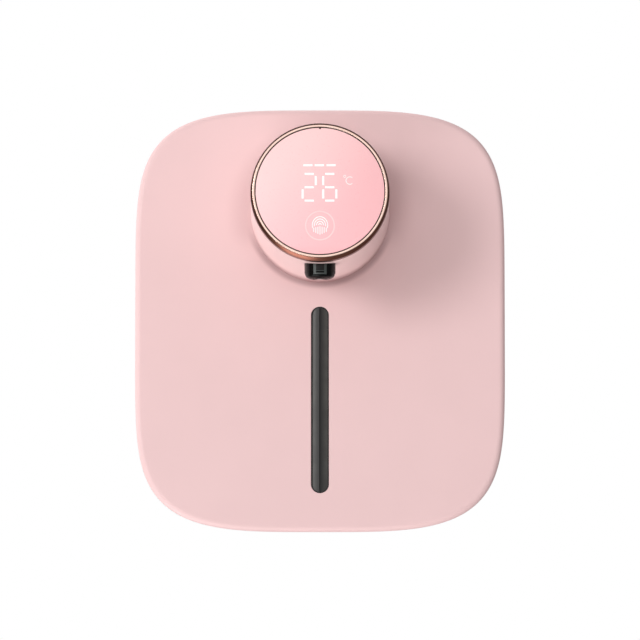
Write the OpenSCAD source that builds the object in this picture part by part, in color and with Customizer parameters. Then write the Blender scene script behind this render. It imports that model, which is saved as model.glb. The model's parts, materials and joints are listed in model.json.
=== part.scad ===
/* [Body] */
// Width of the front panel
body_w = 112; // [110:1:116]
// Height of the front panel
body_h = 128.6; // [127:0.2:132]
// Depth from the wall to the front panel
body_d = 43; // [43:0.5:46]
// Roundness exponent of the upright sides
side_power = 3.7; // [3.5:0.1:4.2]
// Roundness exponent of the top and bottom
end_power = 5.44; // [5.2:0.02:6]
// Angle by which the walls draw in towards the wall plate
draft = 7.5; // [7:0.1:8]
// Wall thickness of the shell
wall = 2.2; // [2:0.1:2.4]
// Radius of the front edge
edge_r = 1.6; // [1.2:0.1:2]

/* [Head] */
// Height of the head axis above the body centre
head_z = 32.6; // [32:0.1:33]
// Distance that the head stands out of the panel
head_len = 50; // [48:0.5:54]
// Head radius at the panel
head_base_r = 21; // [20.8:0.1:21.4]
// Head radius at the bezel
head_front_r = 20.6; // [20.4:0.1:20.8]
// Radius of the foam nozzle block
nozzle_r = 4.6; // [4.4:0.1:4.8]
// Depth that the nozzle block hangs below the head
nozzle_drop = 4.1; // [4:0.1:6]

/* [Level window] */
// Width of the window slot
window_w = 5.4; // [5:0.1:6]
// Length of the window slot
window_len = 56.7; // [50:0.1:57]

/* [Wall plate] */
// Height of the wall plate
plate_h = 40; // [36:1:40]
// Distance between the two wall screws
screw_pitch = 24; // [20:1:26]
// Diameter of the wall screw holes
screw_hole_d = 4.5; // [4:0.1:4.8]

/* [Refill lid] */
// Width of the refill lid
lid_w = 36; // [34:1:38]

/* [Hidden] */
$fn = 64;
ring_points = 80;

// Colours of the finishes
blush = [0.93, 0.79, 0.79];
rose_gold = [0.80, 0.58, 0.50];
black_plastic = [0.06, 0.05, 0.05];
smoke = [0.26, 0.25, 0.24];
clear_tank = [0.86, 0.88, 0.90];
rubber_grey = [0.35, 0.34, 0.34];
white_plastic = [0.93, 0.93, 0.92];
steel = [0.75, 0.76, 0.78];
copper = [0.72, 0.40, 0.22];
brass = [0.80, 0.66, 0.35];
board_green = [0.10, 0.38, 0.22];
battery_blue = [0.20, 0.42, 0.68];

// Body planes, all measured from the wall at y = 0 towards the front at -y
front_y = -body_d;
inner_y = front_y + wall;
rim_y = -1;
cover_back_y = -1.4;
cover_front_y = -4;
cover_inset = 7.7;

// Inward offset of the outer wall at a depth y behind the rounded front edge
edge_end_y = front_y + edge_r * (1 + sin(draft));
function wall_inset(y) = edge_r * (1 - cos(draft)) + (y - edge_end_y) * tan(draft);
function top_z(y) = body_h / 2 - wall_inset(y);
function side_x(y) = body_w / 2 - wall_inset(y);

// Wall plate and the pocket that hooks over it
pad_t = 0.8;
web_x = 17;
flange_x = 20;
flange_back_y = -3;
flange_front_y = -4.8;
plate_top = plate_h / 2;
pocket_x = 22.4;
pocket_floor_y = -5.2;
pocket_top = plate_top + 0.2;
pocket_bottom = -plate_top - 22;
pocket_wall = 2;
lip_bottom = 0.5;
bumper_x = 30;
bumper_z = -50;
bumper_r = 4.4;

// Head stack, as distances from the wall
head_axis = [0, 0, head_z];
tube_end = body_d + head_len - 3.5;
head_end = body_d + head_len;
lens_r = head_front_r - 1.8;
spigot_r = 14.3;
tube_bore_r = 18.4;
head_screw_r = 17.6;
nozzle_y = -(tube_end - 8.1);
nozzle_bottom = head_z - head_front_r - nozzle_drop;
spout_y = nozzle_y + 1.8;
sensor_half = 1.95;

// Display stack behind the lens, as distances from the wall
lens_t = 2.3;
mask_front = head_end - 2.45;
mask_back = head_end - 4.8;
mask_r = 17.1;
panel_front = head_end - 5.8;
panel_back = head_end - 7.4;

// Places of the lit segments on the display, in x and z about the head axis
digit_w = 3.9;
digit_h = 4;
digit_at = [[-3.2, 1.1], [2.9, 1.1]];
dash_at = [[-3.6, 7.6], [-0.2, 7.6], [3.3, 7.6]];
unit_at = [8.6, 3.2];
touch_at = [0, -10.1];
bar_places = concat(
    [for (d = digit_at, k = [-1, 0, 1]) [d[0], d[1] + k * digit_h, 0]],
    [for (d = digit_at, sx = [-1, 1], k = [-1, 1])
        [d[0] + sx * digit_w / 2, d[1] + k * digit_h / 2, 90]],
    [for (d = dash_at) [d[0], d[1], 0]]
);

// Foam column above the nozzle: heights of the spout, the cup and the mesh cartridge
spout_flange_z = 16.8;
cup_floor_z = 17.6;
cup_top_z = 20;
mesh_cap_z = 25;
barb_z = 25.8;
barb_end_z = 28.5;
cartridge_r = 3.85;
screen_r = 3.2;
cup_r = 4.4;
spout_bore_r = 1.3;

// Level window
window_top = 4.1;
window_gap = 0.35;

// Tank
tank_back_y = -8.2;
tank_front_y = -39.8;
tank_top = 2;
tank_inset = 8.6;
tank_wall = 1.4;
notch_x = 34;
notch_z = 42;
column_x = 16;
column_back_y = -11;
column_front_y = -27;
column_top = 53;
neck_half = 12;
neck_r = 5.5;
neck_y = (column_back_y + column_front_y) / 2;
collar_top = 55.6;

// Refill lid
lid_back_y = -10.5;
lid_front_y = -29;
lid_t = 2;
hinge_y = -8.6;
hinge_z = top_z(hinge_y) - 1.5;
knuckle_r = 1.5;
knuckle_x = 13;
lug_x = 17.2;
lug_r = 1.6;
lid_gap = 0.3;
pin_r = 0.75;

// Shank radii of the large and the small screws
screw_r = 1.1;
small_screw_r = 0.95;

// Corner posts that take the rear cover screws
boss_x = 38.5;
boss_z = 46.5;
boss_r = 3.6;
boss_end_y = -12;

// Pump and motor, upright, at the left of the head
pump_at = [-29.5, -24, 0];
pump_r = 13;
cover_z = 4.5;
plate_z = 11.5;
membrane_z = 14.5;
wobble_z = 20.8;
wheel_z = 24.4;
shaft_end_z = 27.4;
housing_top = 31;
can_top = 50;
can_r = 12;
wobble_tilt = 5;
wobble_pin_r = 0.8;
pin_top = 6.2;
chamber_r = 7.2;
nipple_z = 8;
nipple_end_x = -12;
outlet_y = -35;
inlet_y = -31;

// Battery, upright, at the right of the head
cell_at = [28.2, -22, 3.8];
cell_r = 9.2;
cell_len = 50;

// Main board behind the tank column
board_x = 34;
board_bottom = 24;
board_top = 50;
board_back_y = -8.5;
board_t = 1.6;

// Charging port on the right side wall
port_y = -22;
port_z = 14;
port_at = [side_x(port_y), port_y, port_z];
flap_t = 1.2;
flap_pivot = [-0.9, 0, 4];
recess_x = -1.6;

// Routes of the hoses and thickness of the wires
wire_r = 0.5;
foam_route = [[-15, -35, 8], [-11, -35, 8], [-6, -35, 8.6], [-2, -35, 11], [0, -35.5, 16],
              [0, -36, 23], [0, -38.5, 28.5], [0, -44, 31], [0, -58, 31.4], [0, -71, 31.4],
              [0, -77, 31], [0, spout_y + 0.2, 29], [0, spout_y, 26.2]];
suction_route = [[-15, -31, 8], [-12, -31, 8], [-9.4, -31, 7.2], [-8, -31, 5], [-8, -31, 1],
                 [-8, -31, -20], [-8, -31, -45]];
suction_at = [-8, -31];

// ---- Shared shapes ----

function sgn_pow(v, e) = sign(v) * pow(abs(v), e);

// Outline of the body drawn in by d all round
function outline(d) = [for (i = [0:ring_points - 1]) let (t = 360 * i / ring_points)
    [(body_w / 2 - d) * sgn_pow(cos(t), 2 / side_power),
     (body_h / 2 - d) * sgn_pow(sin(t), 2 / end_power)]];

function ring_at(y, d) = [for (p = outline(d)) [p[0], y, p[1]]];

// Solid through rings of equal point count: capped at both ends, or closed into a loop
module loft(rings, closed = false) {
    n = len(rings[0]);
    m = len(rings);
    points = [for (r = rings) for (p = r) p];
    sides = [for (j = [0:closed ? m - 1 : m - 2]) for (i = [0:n - 1])
        let (k = (i + 1) % n, next = ((j + 1) % m) * n,
             a = j * n + i, b = j * n + k, c = next + i, d = next + k)
        each [[a, b, d], [a, d, c]]];
    caps = closed ? [] : [[for (i = [0:n - 1]) n - 1 - i], [for (i = [0:n - 1]) (m - 1) * n + i]];
    polyhedron(points, concat(caps, sides));
}

// Solid of the outer body shape between two depths, drawn in by d
module body_slice(y_front, y_back, d) {
    loft([ring_at(y_front, wall_inset(y_front) + d), ring_at(y_back, wall_inset(y_back) + d)]);
}

// A flat shape in x and z, from one depth to another that is nearer the front
module plate(y_back, y_front) {
    translate([0, y_back, 0]) rotate([90, 0, 0]) linear_extrude(y_back - y_front) children();
}

// A turned shape whose profile is [radius, distance from the wall]
module turned(profile) {
    translate(head_axis) rotate([90, 0, 0]) rotate_extrude() polygon(profile);
}

// A box from its lowest to its highest corner
module block(low, high) {
    translate(low) cube(high - low);
}

// Upright slot outline: half width r, ends at z0 and z1
module slot(r, z0, z1) {
    translate([0, z0 + r]) circle(r);
    translate([0, z1 - r]) circle(r);
    translate([-r, z0 + r]) square([2 * r, z1 - z0 - 2 * r]);
}

// Level slot outline in x and y: half length h, radius r
module level_slot(h, r) {
    for (s = [-1, 1]) translate([s * (h - r), 0]) circle(r);
    translate([-(h - r), -r]) square([2 * (h - r), 2 * r]);
}

// Smooth curve through the points of a route, with k steps between two of them
function smooth(route, k) = let (last = len(route) - 1) concat(
    [for (i = [0:last - 1]) for (j = [0:k - 1]) let (
        t = j / k, p1 = route[i], p2 = route[i + 1],
        p0 = route[max(i - 1, 0)], p3 = route[min(i + 2, last)])
        p1 + (p2 - p0) * t / 2 + (2 * p0 - 5 * p1 + 4 * p2 - p3) * t * t / 2
            + (3 * p1 - p0 - 3 * p2 + p3) * t * t * t / 2],
    [route[last]]);

function unit(v) = v / norm(v);

function directions(path) = let (last = len(path) - 1)
    [for (i = [0:last]) unit(path[min(i + 1, last)] - path[max(i - 1, 0)])];

// Side vectors carried along a path without twist
function sides_along(dirs, i, v) = i >= len(dirs) ? [] :
    let (s = unit(v - (v * dirs[i]) * dirs[i])) concat([s], sides_along(dirs, i + 1, s));

function tube_rings(path, start, r, n) =
    let (dirs = directions(path), across = sides_along(dirs, 0, start))
    [for (i = [0:len(path) - 1]) [for (j = [0:n - 1]) let (u = 360 * j / n)
        path[i] + r * (cos(u) * across[i] + sin(u) * cross(across[i], dirs[i]))]];

function backwards(list) = [for (i = [len(list) - 1:-1:0]) list[i]];

module wire(route, start, r) loft(tube_rings(smooth(route, 3), start, r, 8));

module hose(route, start, r, bore) {
    path = smooth(route, 3);
    loft(concat(tube_rings(path, start, r, 16), backwards(tube_rings(path, start, bore, 16))),
         closed = true);
}

// A pan head screw along +z, with its head below z = 0
module screw(shank_r, length, head_r, head_h) {
    difference() {
        union() {
            cylinder(h = length, r = shank_r);
            translate([0, 0, -head_h]) cylinder(h = head_h, r = head_r);
        }
        for (a = [0, 90]) rotate([0, 0, a])
            translate([-head_r * 0.6, -head_r * 0.12, -head_h - 0.1])
                cube([head_r * 1.2, head_r * 0.24, head_h * 0.5]);
    }
}

// The same screw pointing to the front, from the depth y
module screw_to_front(x, y, z, shank_r, length, head_r, head_h) {
    translate([x, y, z]) rotate([90, 0, 0]) screw(shank_r, length, head_r, head_h);
}

// ---- Wall bracket ----

module wall_plate() color(white_plastic) difference() {
    union() {
        block([-web_x, flange_back_y, -plate_top], [web_x, -pad_t, plate_top]);
        block([-flange_x, flange_front_y, -plate_top], [flange_x, flange_back_y, plate_top]);
    }
    for (s = [-1, 1]) translate([0, 0, s * screw_pitch / 2]) rotate([90, 0, 0]) {
        cylinder(h = 6, d = screw_hole_d);
        translate([0, 0, -flange_front_y - 2.25])
            cylinder(h = 2.35, d1 = screw_hole_d, d2 = screw_hole_d + 4.7);
    }
}

module adhesive_pad() color(rubber_grey) difference() {
    block([-web_x, -pad_t, -plate_top], [web_x, 0, plate_top]);
    for (s = [-1, 1]) translate([0, 1, s * screw_pitch / 2]) rotate([90, 0, 0])
        cylinder(h = 3, d = screw_hole_d);
}

// ---- Casing ----

module board_post_places() {
    for (x = [-1, 1], z = [board_bottom + 3.5, board_top - 3.5])
        translate([x * (board_x - 3.5), cover_front_y, z]) rotate([90, 0, 0]) children();
}

module rear_cover() color(blush) difference() {
    union() {
        plate(cover_back_y, cover_front_y) polygon(outline(cover_inset));
        block([-pocket_x - pocket_wall, pocket_floor_y - pocket_wall, pocket_bottom - pocket_wall],
              [pocket_x + pocket_wall, cover_front_y, pocket_top + pocket_wall]);
        board_post_places() cylinder(h = cover_front_y - board_back_y, r = 2.4);
        // Feet for the battery cradle and the pump bracket
        for (z = [8, 16]) block([26, -6, z], [29, cover_front_y, z + 4]);
        block([-33, -6, 9], [-27, cover_front_y, 21]);
    }
    // Pocket for the wall plate, narrower where the lips hook behind the flange
    block([-pocket_x, pocket_floor_y, pocket_bottom], [pocket_x, -2.8, pocket_top]);
    block([-web_x - 0.3, -3, pocket_bottom], [web_x + 0.3, 0, pocket_top]);
    block([-pocket_x, -3, pocket_bottom], [pocket_x, 0, lip_bottom]);
    for (x = [-1, 1], z = [-1, 1]) translate([x * boss_x, 0, z * boss_z]) rotate([90, 0, 0]) {
        cylinder(h = 6, r = 1.6);
        cylinder(h = 2.9, r = 2.9);
    }
    board_post_places() translate([0, 0, -1]) cylinder(h = 8, r = small_screw_r);
    for (s = [-1, 1]) translate([s * bumper_x, 0, bumper_z]) rotate([90, 0, 0])
        cylinder(h = 2.2, r = bumper_r + 0.1);
}

module wall_bumpers() color(rubber_grey)
    for (s = [-1, 1]) translate([s * bumper_x, -0.1, bumper_z]) rotate([90, 0, 0])
        cylinder(h = 2.1, r = bumper_r);

module rear_cover_screws() color(steel)
    for (x = [-1, 1], z = [-1, 1])
        screw_to_front(x * boss_x, -2.9, z * boss_z, screw_r, 8, 2.5, 1.2);

// Recess and hole for the charging port flap, in the frame of the side wall
module port_frame() translate(port_at) rotate([0, 0, draft]) children();

module port_cutter() port_frame() {
    block([recess_x, -8, -4.5], [3, 8, 5.3]);
    rotate([0, -90, 0]) linear_extrude(8) for (s = [-1, 1]) translate([0, s * 3.1]) circle(1.7);
    block([-8, -3.1, -1.7], [0, 3.1, 1.7]);
    translate([flap_pivot[0], 9.2, flap_pivot[2]]) rotate([90, 0, 0]) cylinder(h = 18.4, r = 0.65);
}

module shell_cup() {
    arc = [for (i = [0:4]) let (a = -90 + (90 + draft) * i / 4)
        [front_y + edge_r * (1 + sin(a)), edge_r * (1 - cos(a))]];
    skirt = [[rim_y - 0.4, wall_inset(rim_y)], [rim_y, wall_inset(rim_y) + 0.4]];
    inside = [[rim_y, wall_inset(rim_y) + wall],
              [inner_y + 1, wall_inset(inner_y + 1) + wall],
              [inner_y, wall_inset(inner_y) + wall + 1]];
    loft([for (p = concat(arc, skirt, inside)) ring_at(p[0], p[1])]);
}

// Posts for the rear cover screws, held to the inside of the corners
module corner_posts() intersection() {
    body_slice(boss_end_y - 1, cover_front_y, 1);
    for (x = [-1, 1], z = [-1, 1]) translate([x * boss_x, cover_front_y, z * boss_z])
        rotate([90, 0, 0]) {
            cylinder(h = cover_front_y - boss_end_y, r = boss_r);
            translate([x > 0 ? 0 : -12, -1.2, 0]) cube([12, 2.4, cover_front_y - boss_end_y]);
        }
}

module hinge_lugs() for (s = [-1, 1]) {
    x0 = s > 0 ? knuckle_x + lid_gap : -lug_x;
    length = lug_x - knuckle_x - lid_gap;
    translate([x0, hinge_y, hinge_z]) rotate([0, 90, 0]) cylinder(h = length, r = lug_r);
    block([x0, hinge_y, hinge_z - lug_r], [x0 + length, -5, hinge_z + 0.8]);
}

module front_shell() color(blush) difference() {
    union() {
        difference() {
            shell_cup();
            block([-lid_w / 2 - lid_gap, lid_front_y - lid_gap, 50],
                  [lid_w / 2 + lid_gap, -6.2, 70]);
        }
        corner_posts();
        hinge_lugs();
        // Thicker wall around the port, which holds the trunnions of the flap
        port_frame() block([-3.4, -10, -6.5], [-1, 10, 7.5]);
        // Locating collar round the window slot, inside
        plate(inner_y + 0.9, inner_y - 0.4) difference() {
            slot(window_w / 2 + 3, window_top - window_len - 3, window_top + 3);
            slot(window_w / 2 + 1.6, window_top - window_len - 1.6, window_top + 1.6);
        }
    }
    plate(0, front_y - 1) slot(window_w / 2, window_top - window_len, window_top);
    translate(head_axis) rotate([90, 0, 0]) {
        cylinder(h = body_d + 1, r = spigot_r + 0.15);
        for (a = [45:90:315]) rotate([0, 0, a]) translate([head_screw_r, 0, 0])
            cylinder(h = body_d + 1, r = 1.3);
    }
    translate([-lug_x - 1, hinge_y, hinge_z]) rotate([0, 90, 0])
        cylinder(h = 2 * lug_x + 2, r = pin_r);
    for (x = [-1, 1], z = [-1, 1]) translate([x * boss_x, cover_front_y + 1, z * boss_z])
        rotate([90, 0, 0]) cylinder(h = 8, r = screw_r);
    port_cutter();
}

module level_window() color(smoke) {
    r = window_w / 2 - window_gap;
    low = window_top - window_len + window_gap;
    high = window_top - window_gap;
    plate(inner_y, front_y + 0.3) slot(r, low, high);
    plate(inner_y + 0.8, inner_y) slot(r + 1.8, low - 1.8, high + 1.8);
}

module window_seal() color(black_plastic) {
    low = window_top - window_len;
    plate(inner_y, front_y + 0.15) difference() {
        slot(window_w / 2, low, window_top);
        slot(window_w / 2 - window_gap, low + window_gap, window_top - window_gap);
    }
}

// ---- Soap tank ----

module tank_outline(d) difference() {
    intersection() {
        polygon(outline(tank_inset + d));
        translate([-60, -70]) square([120, 70 + tank_top - d]);
    }
    // Room for the lower corner posts
    for (s = [-1, 1]) translate([s > 0 ? notch_x - d : -notch_x + d - 20, -notch_z + d - 20])
        square(20);
}

module tank_shell() color(clear_tank) difference() {
    seat_y = tank_back_y - 1.6;
    union() {
        plate(seat_y, tank_front_y) tank_outline(0);
        block([-column_x, column_front_y, tank_top - 1],
              [column_x, column_back_y, column_top]);
    }
    plate(seat_y + 1, tank_front_y + tank_wall) tank_outline(tank_wall);
    block([-column_x + tank_wall, column_front_y + tank_wall, tank_top - 6],
          [column_x - tank_wall, column_back_y - tank_wall, column_top - tank_wall]);
    translate([0, neck_y, column_top - 4]) linear_extrude(6) level_slot(neck_half, neck_r);
    translate([suction_at[0], suction_at[1], -2]) cylinder(h = 6, r = 1.7);
}

module tank_cover() color(clear_tank) {
    plate(tank_back_y, tank_back_y - 1.5) tank_outline(0);
    plate(tank_back_y - 1.5, tank_back_y - 3) difference() {
        tank_outline(tank_wall + 0.1);
        tank_outline(tank_wall + 1.5);
    }
}

module fill_collar() color(white_plastic) difference() {
    block([-column_x - 1, column_front_y - 1.2, column_top - 2.6],
          [column_x + 1, column_back_y + 0.8, collar_top]);
    block([-column_x - 0.1, column_front_y - 0.1, column_top - 3],
          [column_x + 0.1, column_back_y + 0.1, column_top]);
    translate([0, neck_y, column_top - 1]) linear_extrude(5) level_slot(neck_half, neck_r);
}

module suction_filter() color(white_plastic)
    translate([suction_at[0], suction_at[1], -54]) difference() {
        cylinder(h = 12, r = 4);
        translate([0, 0, 1.2]) cylinder(h = 6.8, r = 3.2);
        translate([0, 0, 7]) cylinder(h = 6, r = 1.6);
        for (a = [0:45:315]) rotate([0, 0, a]) translate([2, -0.5, 2]) cube([4, 1, 5]);
    }

module suction_hose() color(clear_tank) hose(suction_route, [0, 1, 0], 1.6, 0.9);

// ---- Refill lid ----

module refill_lid() color(blush) difference() {
    union() {
        difference() {
            intersection() {
                body_slice(lid_front_y, lid_back_y, 0);
                block([-lid_w / 2, lid_front_y - 1, 50], [lid_w / 2, 0, 70]);
            }
            body_slice(lid_front_y - 1, lid_back_y + 1, lid_t);
        }
        // Flat boss that carries the gasket
        intersection() {
            body_slice(lid_front_y, lid_back_y, 1);
            translate([0, neck_y, collar_top + 1]) linear_extrude(8)
                level_slot(neck_half + 2.4, neck_r + 2.2);
        }
        translate([-knuckle_x, hinge_y, hinge_z]) rotate([0, 90, 0])
            cylinder(h = 2 * knuckle_x, r = knuckle_r);
        block([-knuckle_x, lid_back_y - 1, hinge_z - 1], [knuckle_x, hinge_y, hinge_z + 0.6]);
    }
    translate([-knuckle_x - 1, hinge_y, hinge_z]) rotate([0, 90, 0])
        cylinder(h = 2 * knuckle_x + 2, r = pin_r + 0.06);
}

module lid_gasket() color(rubber_grey)
    translate([0, neck_y, collar_top + 0.1]) linear_extrude(0.9) difference() {
        level_slot(neck_half + 2.4, neck_r + 2.2);
        level_slot(neck_half - 1, neck_r - 1);
    }

module lid_pin() color(steel)
    translate([-lug_x, hinge_y, hinge_z]) rotate([0, 90, 0]) cylinder(h = 2 * lug_x, r = pin_r);

// ---- Head ----

module head_tube() color(blush) difference() {
    turned([
        [13, body_d - 3], [spigot_r, body_d - 3], [spigot_r, body_d], [head_base_r, body_d],
        [head_front_r, tube_end], [tube_bore_r, tube_end], [tube_bore_r, body_d + 8],
        [13, body_d + 8]
    ]);
    translate([0, nozzle_y, 0]) cylinder(h = head_z - 10, r = nozzle_r + 0.1);
    translate(head_axis) rotate([90, 0, 0]) for (a = [45:90:315])
        rotate([0, 0, a]) translate([head_screw_r, 0, body_d - 1]) cylinder(h = 8, r = screw_r);
}

module head_screws() color(steel)
    for (a = [45:90:315]) translate(head_axis) rotate([90, 0, 0]) rotate([0, 0, a])
        translate([head_screw_r, 0, -inner_y]) screw(screw_r, 8, 2.1, 1.3);

module bezel_ring() color(rose_gold) turned(concat(
    [[17.3, tube_end - 2], [17.3, head_end - 2.4], [lens_r + 0.12, head_end - 2.4],
     [lens_r + 0.12, head_end - 0.25], [lens_r + 0.35, head_end]],
    [for (a = [0:15:75]) [head_front_r - 1.3 + 1.3 * sin(a), head_end - 2.6 + 2.6 * cos(a)]],
    [[head_front_r, head_end - 2.6], [head_front_r, tube_end], [tube_bore_r - 0.1, tube_end],
     [tube_bore_r - 0.1, tube_end - 2]]
));

module display_lens() color(blush) turned([
    [0, head_end - lens_t], [lens_r, head_end - lens_t], [lens_r, head_end - 0.3],
    [lens_r - 0.3, head_end], [0, head_end]
]);

module at_display(x, z, depth) {
    translate([x, -depth, head_z + z]) rotate([90, 0, 0]) children();
}

module display_mask() color(black_plastic) difference() {
    turned([[0, mask_back], [mask_r, mask_back], [mask_r, mask_front], [0, mask_front]]);
    for (b = bar_places) at_display(b[0], b[1], mask_back - 1) rotate([0, 0, b[2]])
        translate([-1.45, -0.4, 0]) cube([2.9, 0.8, 6]);
    at_display(unit_at[0], unit_at[1], mask_back - 1) cylinder(h = 6, r = 1.5);
    at_display(touch_at[0], touch_at[1], mask_back - 1) cylinder(h = 6, r = 3.2);
}

module display_board() color(board_green) difference() {
    turned([[0, panel_back], [mask_r - 0.3, panel_back], [mask_r - 0.3, panel_front],
            [0, panel_front]]);
    for (s = [-1, 1]) at_display(s * 14, 4, panel_back - 1) cylinder(h = 4, r = 1);
}

module led_elements() color(white_plastic) {
    for (b = bar_places) at_display(b[0], b[1], panel_front) rotate([0, 0, b[2]])
        translate([-0.8, -0.35, 0]) cube([1.6, 0.7, 0.7]);
    at_display(unit_at[0], unit_at[1], panel_front) translate([-0.8, -0.4, 0])
        cube([1.6, 0.8, 0.7]);
}

// Small open coil that joins the board to the touch area of the lens
module touch_spring() color(steel) at_display(touch_at[0], touch_at[1], panel_front) {
    turns = 3;
    per_turn = 14;
    coil_r = 2.3;
    coil_wire_r = 0.22;
    rise = 2.7;
    steps = turns * per_turn;
    path = [for (i = [0:steps]) let (t = 360 * i / per_turn)
        [coil_r * cos(t), coil_r * sin(t), 0.3 + rise * i / steps]];
    loft(tube_rings(path, [1, 0, 0], coil_wire_r, 6));
}

module nozzle_column(r0, r1, z0, z1) translate([0, spout_y, z0]) difference() {
    cylinder(h = z1 - z0, r = r1);
    translate([0, 0, -1]) cylinder(h = z1 - z0 + 2, r = r0);
}

module nozzle_shroud() color(black_plastic) {
    bottom = nozzle_bottom;
    difference() {
        union() {
            translate([0, nozzle_y, bottom]) rotate_extrude() polygon(concat(
                [[0, 0]],
                [for (a = [-90:18:0]) [nozzle_r - 1 + cos(a), 1 + sin(a)]],
                [[nozzle_r, 7.7], [0, 7.7]]
            ));
            intersection() {
                translate([0, nozzle_y, bottom + 6]) cylinder(h = 1.7, r = 5.8);
                translate(head_axis) rotate([90, 0, 0]) cylinder(h = 100, r = tube_bore_r - 0.1);
            }
        }
        translate([0, spout_y, bottom - 1]) cylinder(h = 12, r = 2);
        block([-sensor_half, nozzle_y - nozzle_r - 1, bottom + 1],
              [sensor_half, nozzle_y - 0.8, bottom + 3.9]);
        block([-sensor_half, nozzle_y - nozzle_r + 0.8, bottom + 1],
              [sensor_half, nozzle_y - 0.8, bottom + 12]);
    }
}

module nozzle_spout() color(white_plastic) {
    nozzle_column(spout_bore_r, 1.95, nozzle_bottom + 0.4, spout_flange_z + 0.4);
    nozzle_column(spout_bore_r, cup_r, spout_flange_z, cup_floor_z);
    nozzle_column(cartridge_r + 0.05, cup_r, cup_floor_z, cup_top_z);
}

module mesh_cartridge() color(white_plastic) {
    nozzle_column(screen_r, cartridge_r, cup_floor_z, mesh_cap_z);
    nozzle_column(0.8, cartridge_r, mesh_cap_z, barb_z);
    nozzle_column(0.8, 1.08, barb_z, barb_end_z);
}

module foam_screens() color(steel)
    for (z = [cup_floor_z + 0.8, mesh_cap_z - 1.4])
        translate([0, spout_y, z]) cylinder(h = 0.3, r = screen_r);

module sensor_window() color(smoke) intersection() {
    translate([0, nozzle_y, 0]) cylinder(h = 30, r = nozzle_r - 0.12);
    block([-sensor_half + 0.05, nozzle_y - nozzle_r - 1, nozzle_bottom + 1.05],
          [sensor_half - 0.05, nozzle_y - nozzle_r + 1, nozzle_bottom + 3.85]);
}

module sensor_board() color(board_green)
    block([-1.8, nozzle_y - 1.8, nozzle_bottom + 1.2], [1.8, nozzle_y - 1, 16]);

module ir_diodes() color(black_plastic) for (s = [-1, 1])
    translate([s * 0.95, nozzle_y - 1.8, nozzle_bottom + 2.5]) rotate([90, 0, 0]) {
        cylinder(h = 0.9, r = 0.75);
        translate([0, 0, 0.9]) sphere(0.6);
    }

module foam_hose() color(clear_tank) hose(foam_route, [0, 0, 1], 1.8, 1.12);

// ---- Motor ----

// Ring standing on the motor axis
module motor_ring(r0, r1, z0, z1) translate(pump_at + [0, 0, z0]) difference() {
    cylinder(h = z1 - z0, r = r1);
    translate([0, 0, -1]) cylinder(h = z1 - z0 + 2, r = r0);
}

module motor_can() color(steel) {
    motor_ring(3.2, can_r, housing_top, housing_top + 1.2);
    motor_ring(can_r - 0.8, can_r, housing_top + 1.2, can_top);
}

module motor_magnets() color(rubber_grey) difference() {
    motor_ring(9.3, can_r - 0.8, 34, 46);
    translate(pump_at + [-1.5, -15, 33]) cube([3, 30, 14]);
}

module motor_endcap() color(black_plastic) {
    motor_ring(2.8, can_r - 0.8, can_top - 1.6, can_top - 0.2);
    motor_ring(2.8, 4.5, can_top - 0.2, can_top + 1.8);
}

module motor_terminals() color(brass) for (s = [-1, 1])
    translate(pump_at + [s * 7 - 0.9, -0.2, can_top - 0.2]) cube([1.8, 0.5, 4.2]);

module motor_brushes() color(copper) for (s = [-1, 1])
    translate(pump_at + [s * 4.4 - 1.3, -0.9, can_top - 3.4]) cube([2.6, 1.8, 1.8]);

module motor_bushings() color(brass) {
    motor_ring(1.04, 3.2, housing_top, housing_top + 2.4);
    motor_ring(1.04, 2.8, can_top - 1.4, can_top + 1.4);
}

module motor_shaft() color(steel)
    translate(pump_at + [0, 0, shaft_end_z]) cylinder(h = can_top + 1 - shaft_end_z, r = 1);

module armature() color(steel) motor_part(35, 10) difference() {
    union() {
        circle(2.6);
        for (a = [0:120:240]) rotate(a) {
            translate([0, -1.1]) square([8, 2.2]);
            intersection() {
                difference() {
                    circle(8.8);
                    circle(7.4);
                }
                polygon([[0, 0], [12, -10.5], [12, 10.5]]);
            }
        }
    }
    circle(1);
}

module motor_part(z, height) translate(pump_at + [0, 0, z]) linear_extrude(height) children();

module windings() color(copper) motor_part(34, 12) for (a = [0:120:240]) rotate(a)
    for (s = [-1, 1]) translate([3.2, s > 0 ? 1.2 : -2.9]) square([3.4, 1.7]);

module commutator() color(copper) difference() {
    motor_ring(1, 3, can_top - 3.6, can_top - 1.7);
    translate(pump_at) for (a = [0:60:120]) rotate(a)
        translate([-4, -0.15, can_top - 4]) cube([8, 0.3, 1.6]);
}

// ---- Pump ----

// Frame of the wobble pin: tilted about a point on the motor axis
module wobble_frame() translate(pump_at + [0, 0, wobble_z]) rotate([0, wobble_tilt, 0]) children();

module eccentric_wheel() color(white_plastic) difference() {
    motor_ring(0, 5.2, wheel_z, 30);
    translate(pump_at + [0, 0, shaft_end_z]) cylinder(h = 4, r = 1);
    wobble_frame() cylinder(h = pin_top, r = wobble_pin_r);
}

module wobble_pin() color(steel)
    wobble_frame() translate([0, 0, -0.9]) cylinder(h = pin_top + 0.9, r = wobble_pin_r);

module wobble_plate() color(black_plastic) wobble_frame() difference() {
    union() {
        translate([0, 0, -1.6]) cylinder(h = 3.2, r = 2.6);
        for (a = [0:120:240]) rotate([0, 0, a]) {
            translate([0, -1.7, -0.8]) cube([chamber_r, 3.4, 1.6]);
            translate([chamber_r, 0, -0.8]) cylinder(h = 1.6, r = 2.3);
        }
    }
    translate([0, 0, -1.2]) cylinder(h = 4, r = wobble_pin_r + 0.05);
}

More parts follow.
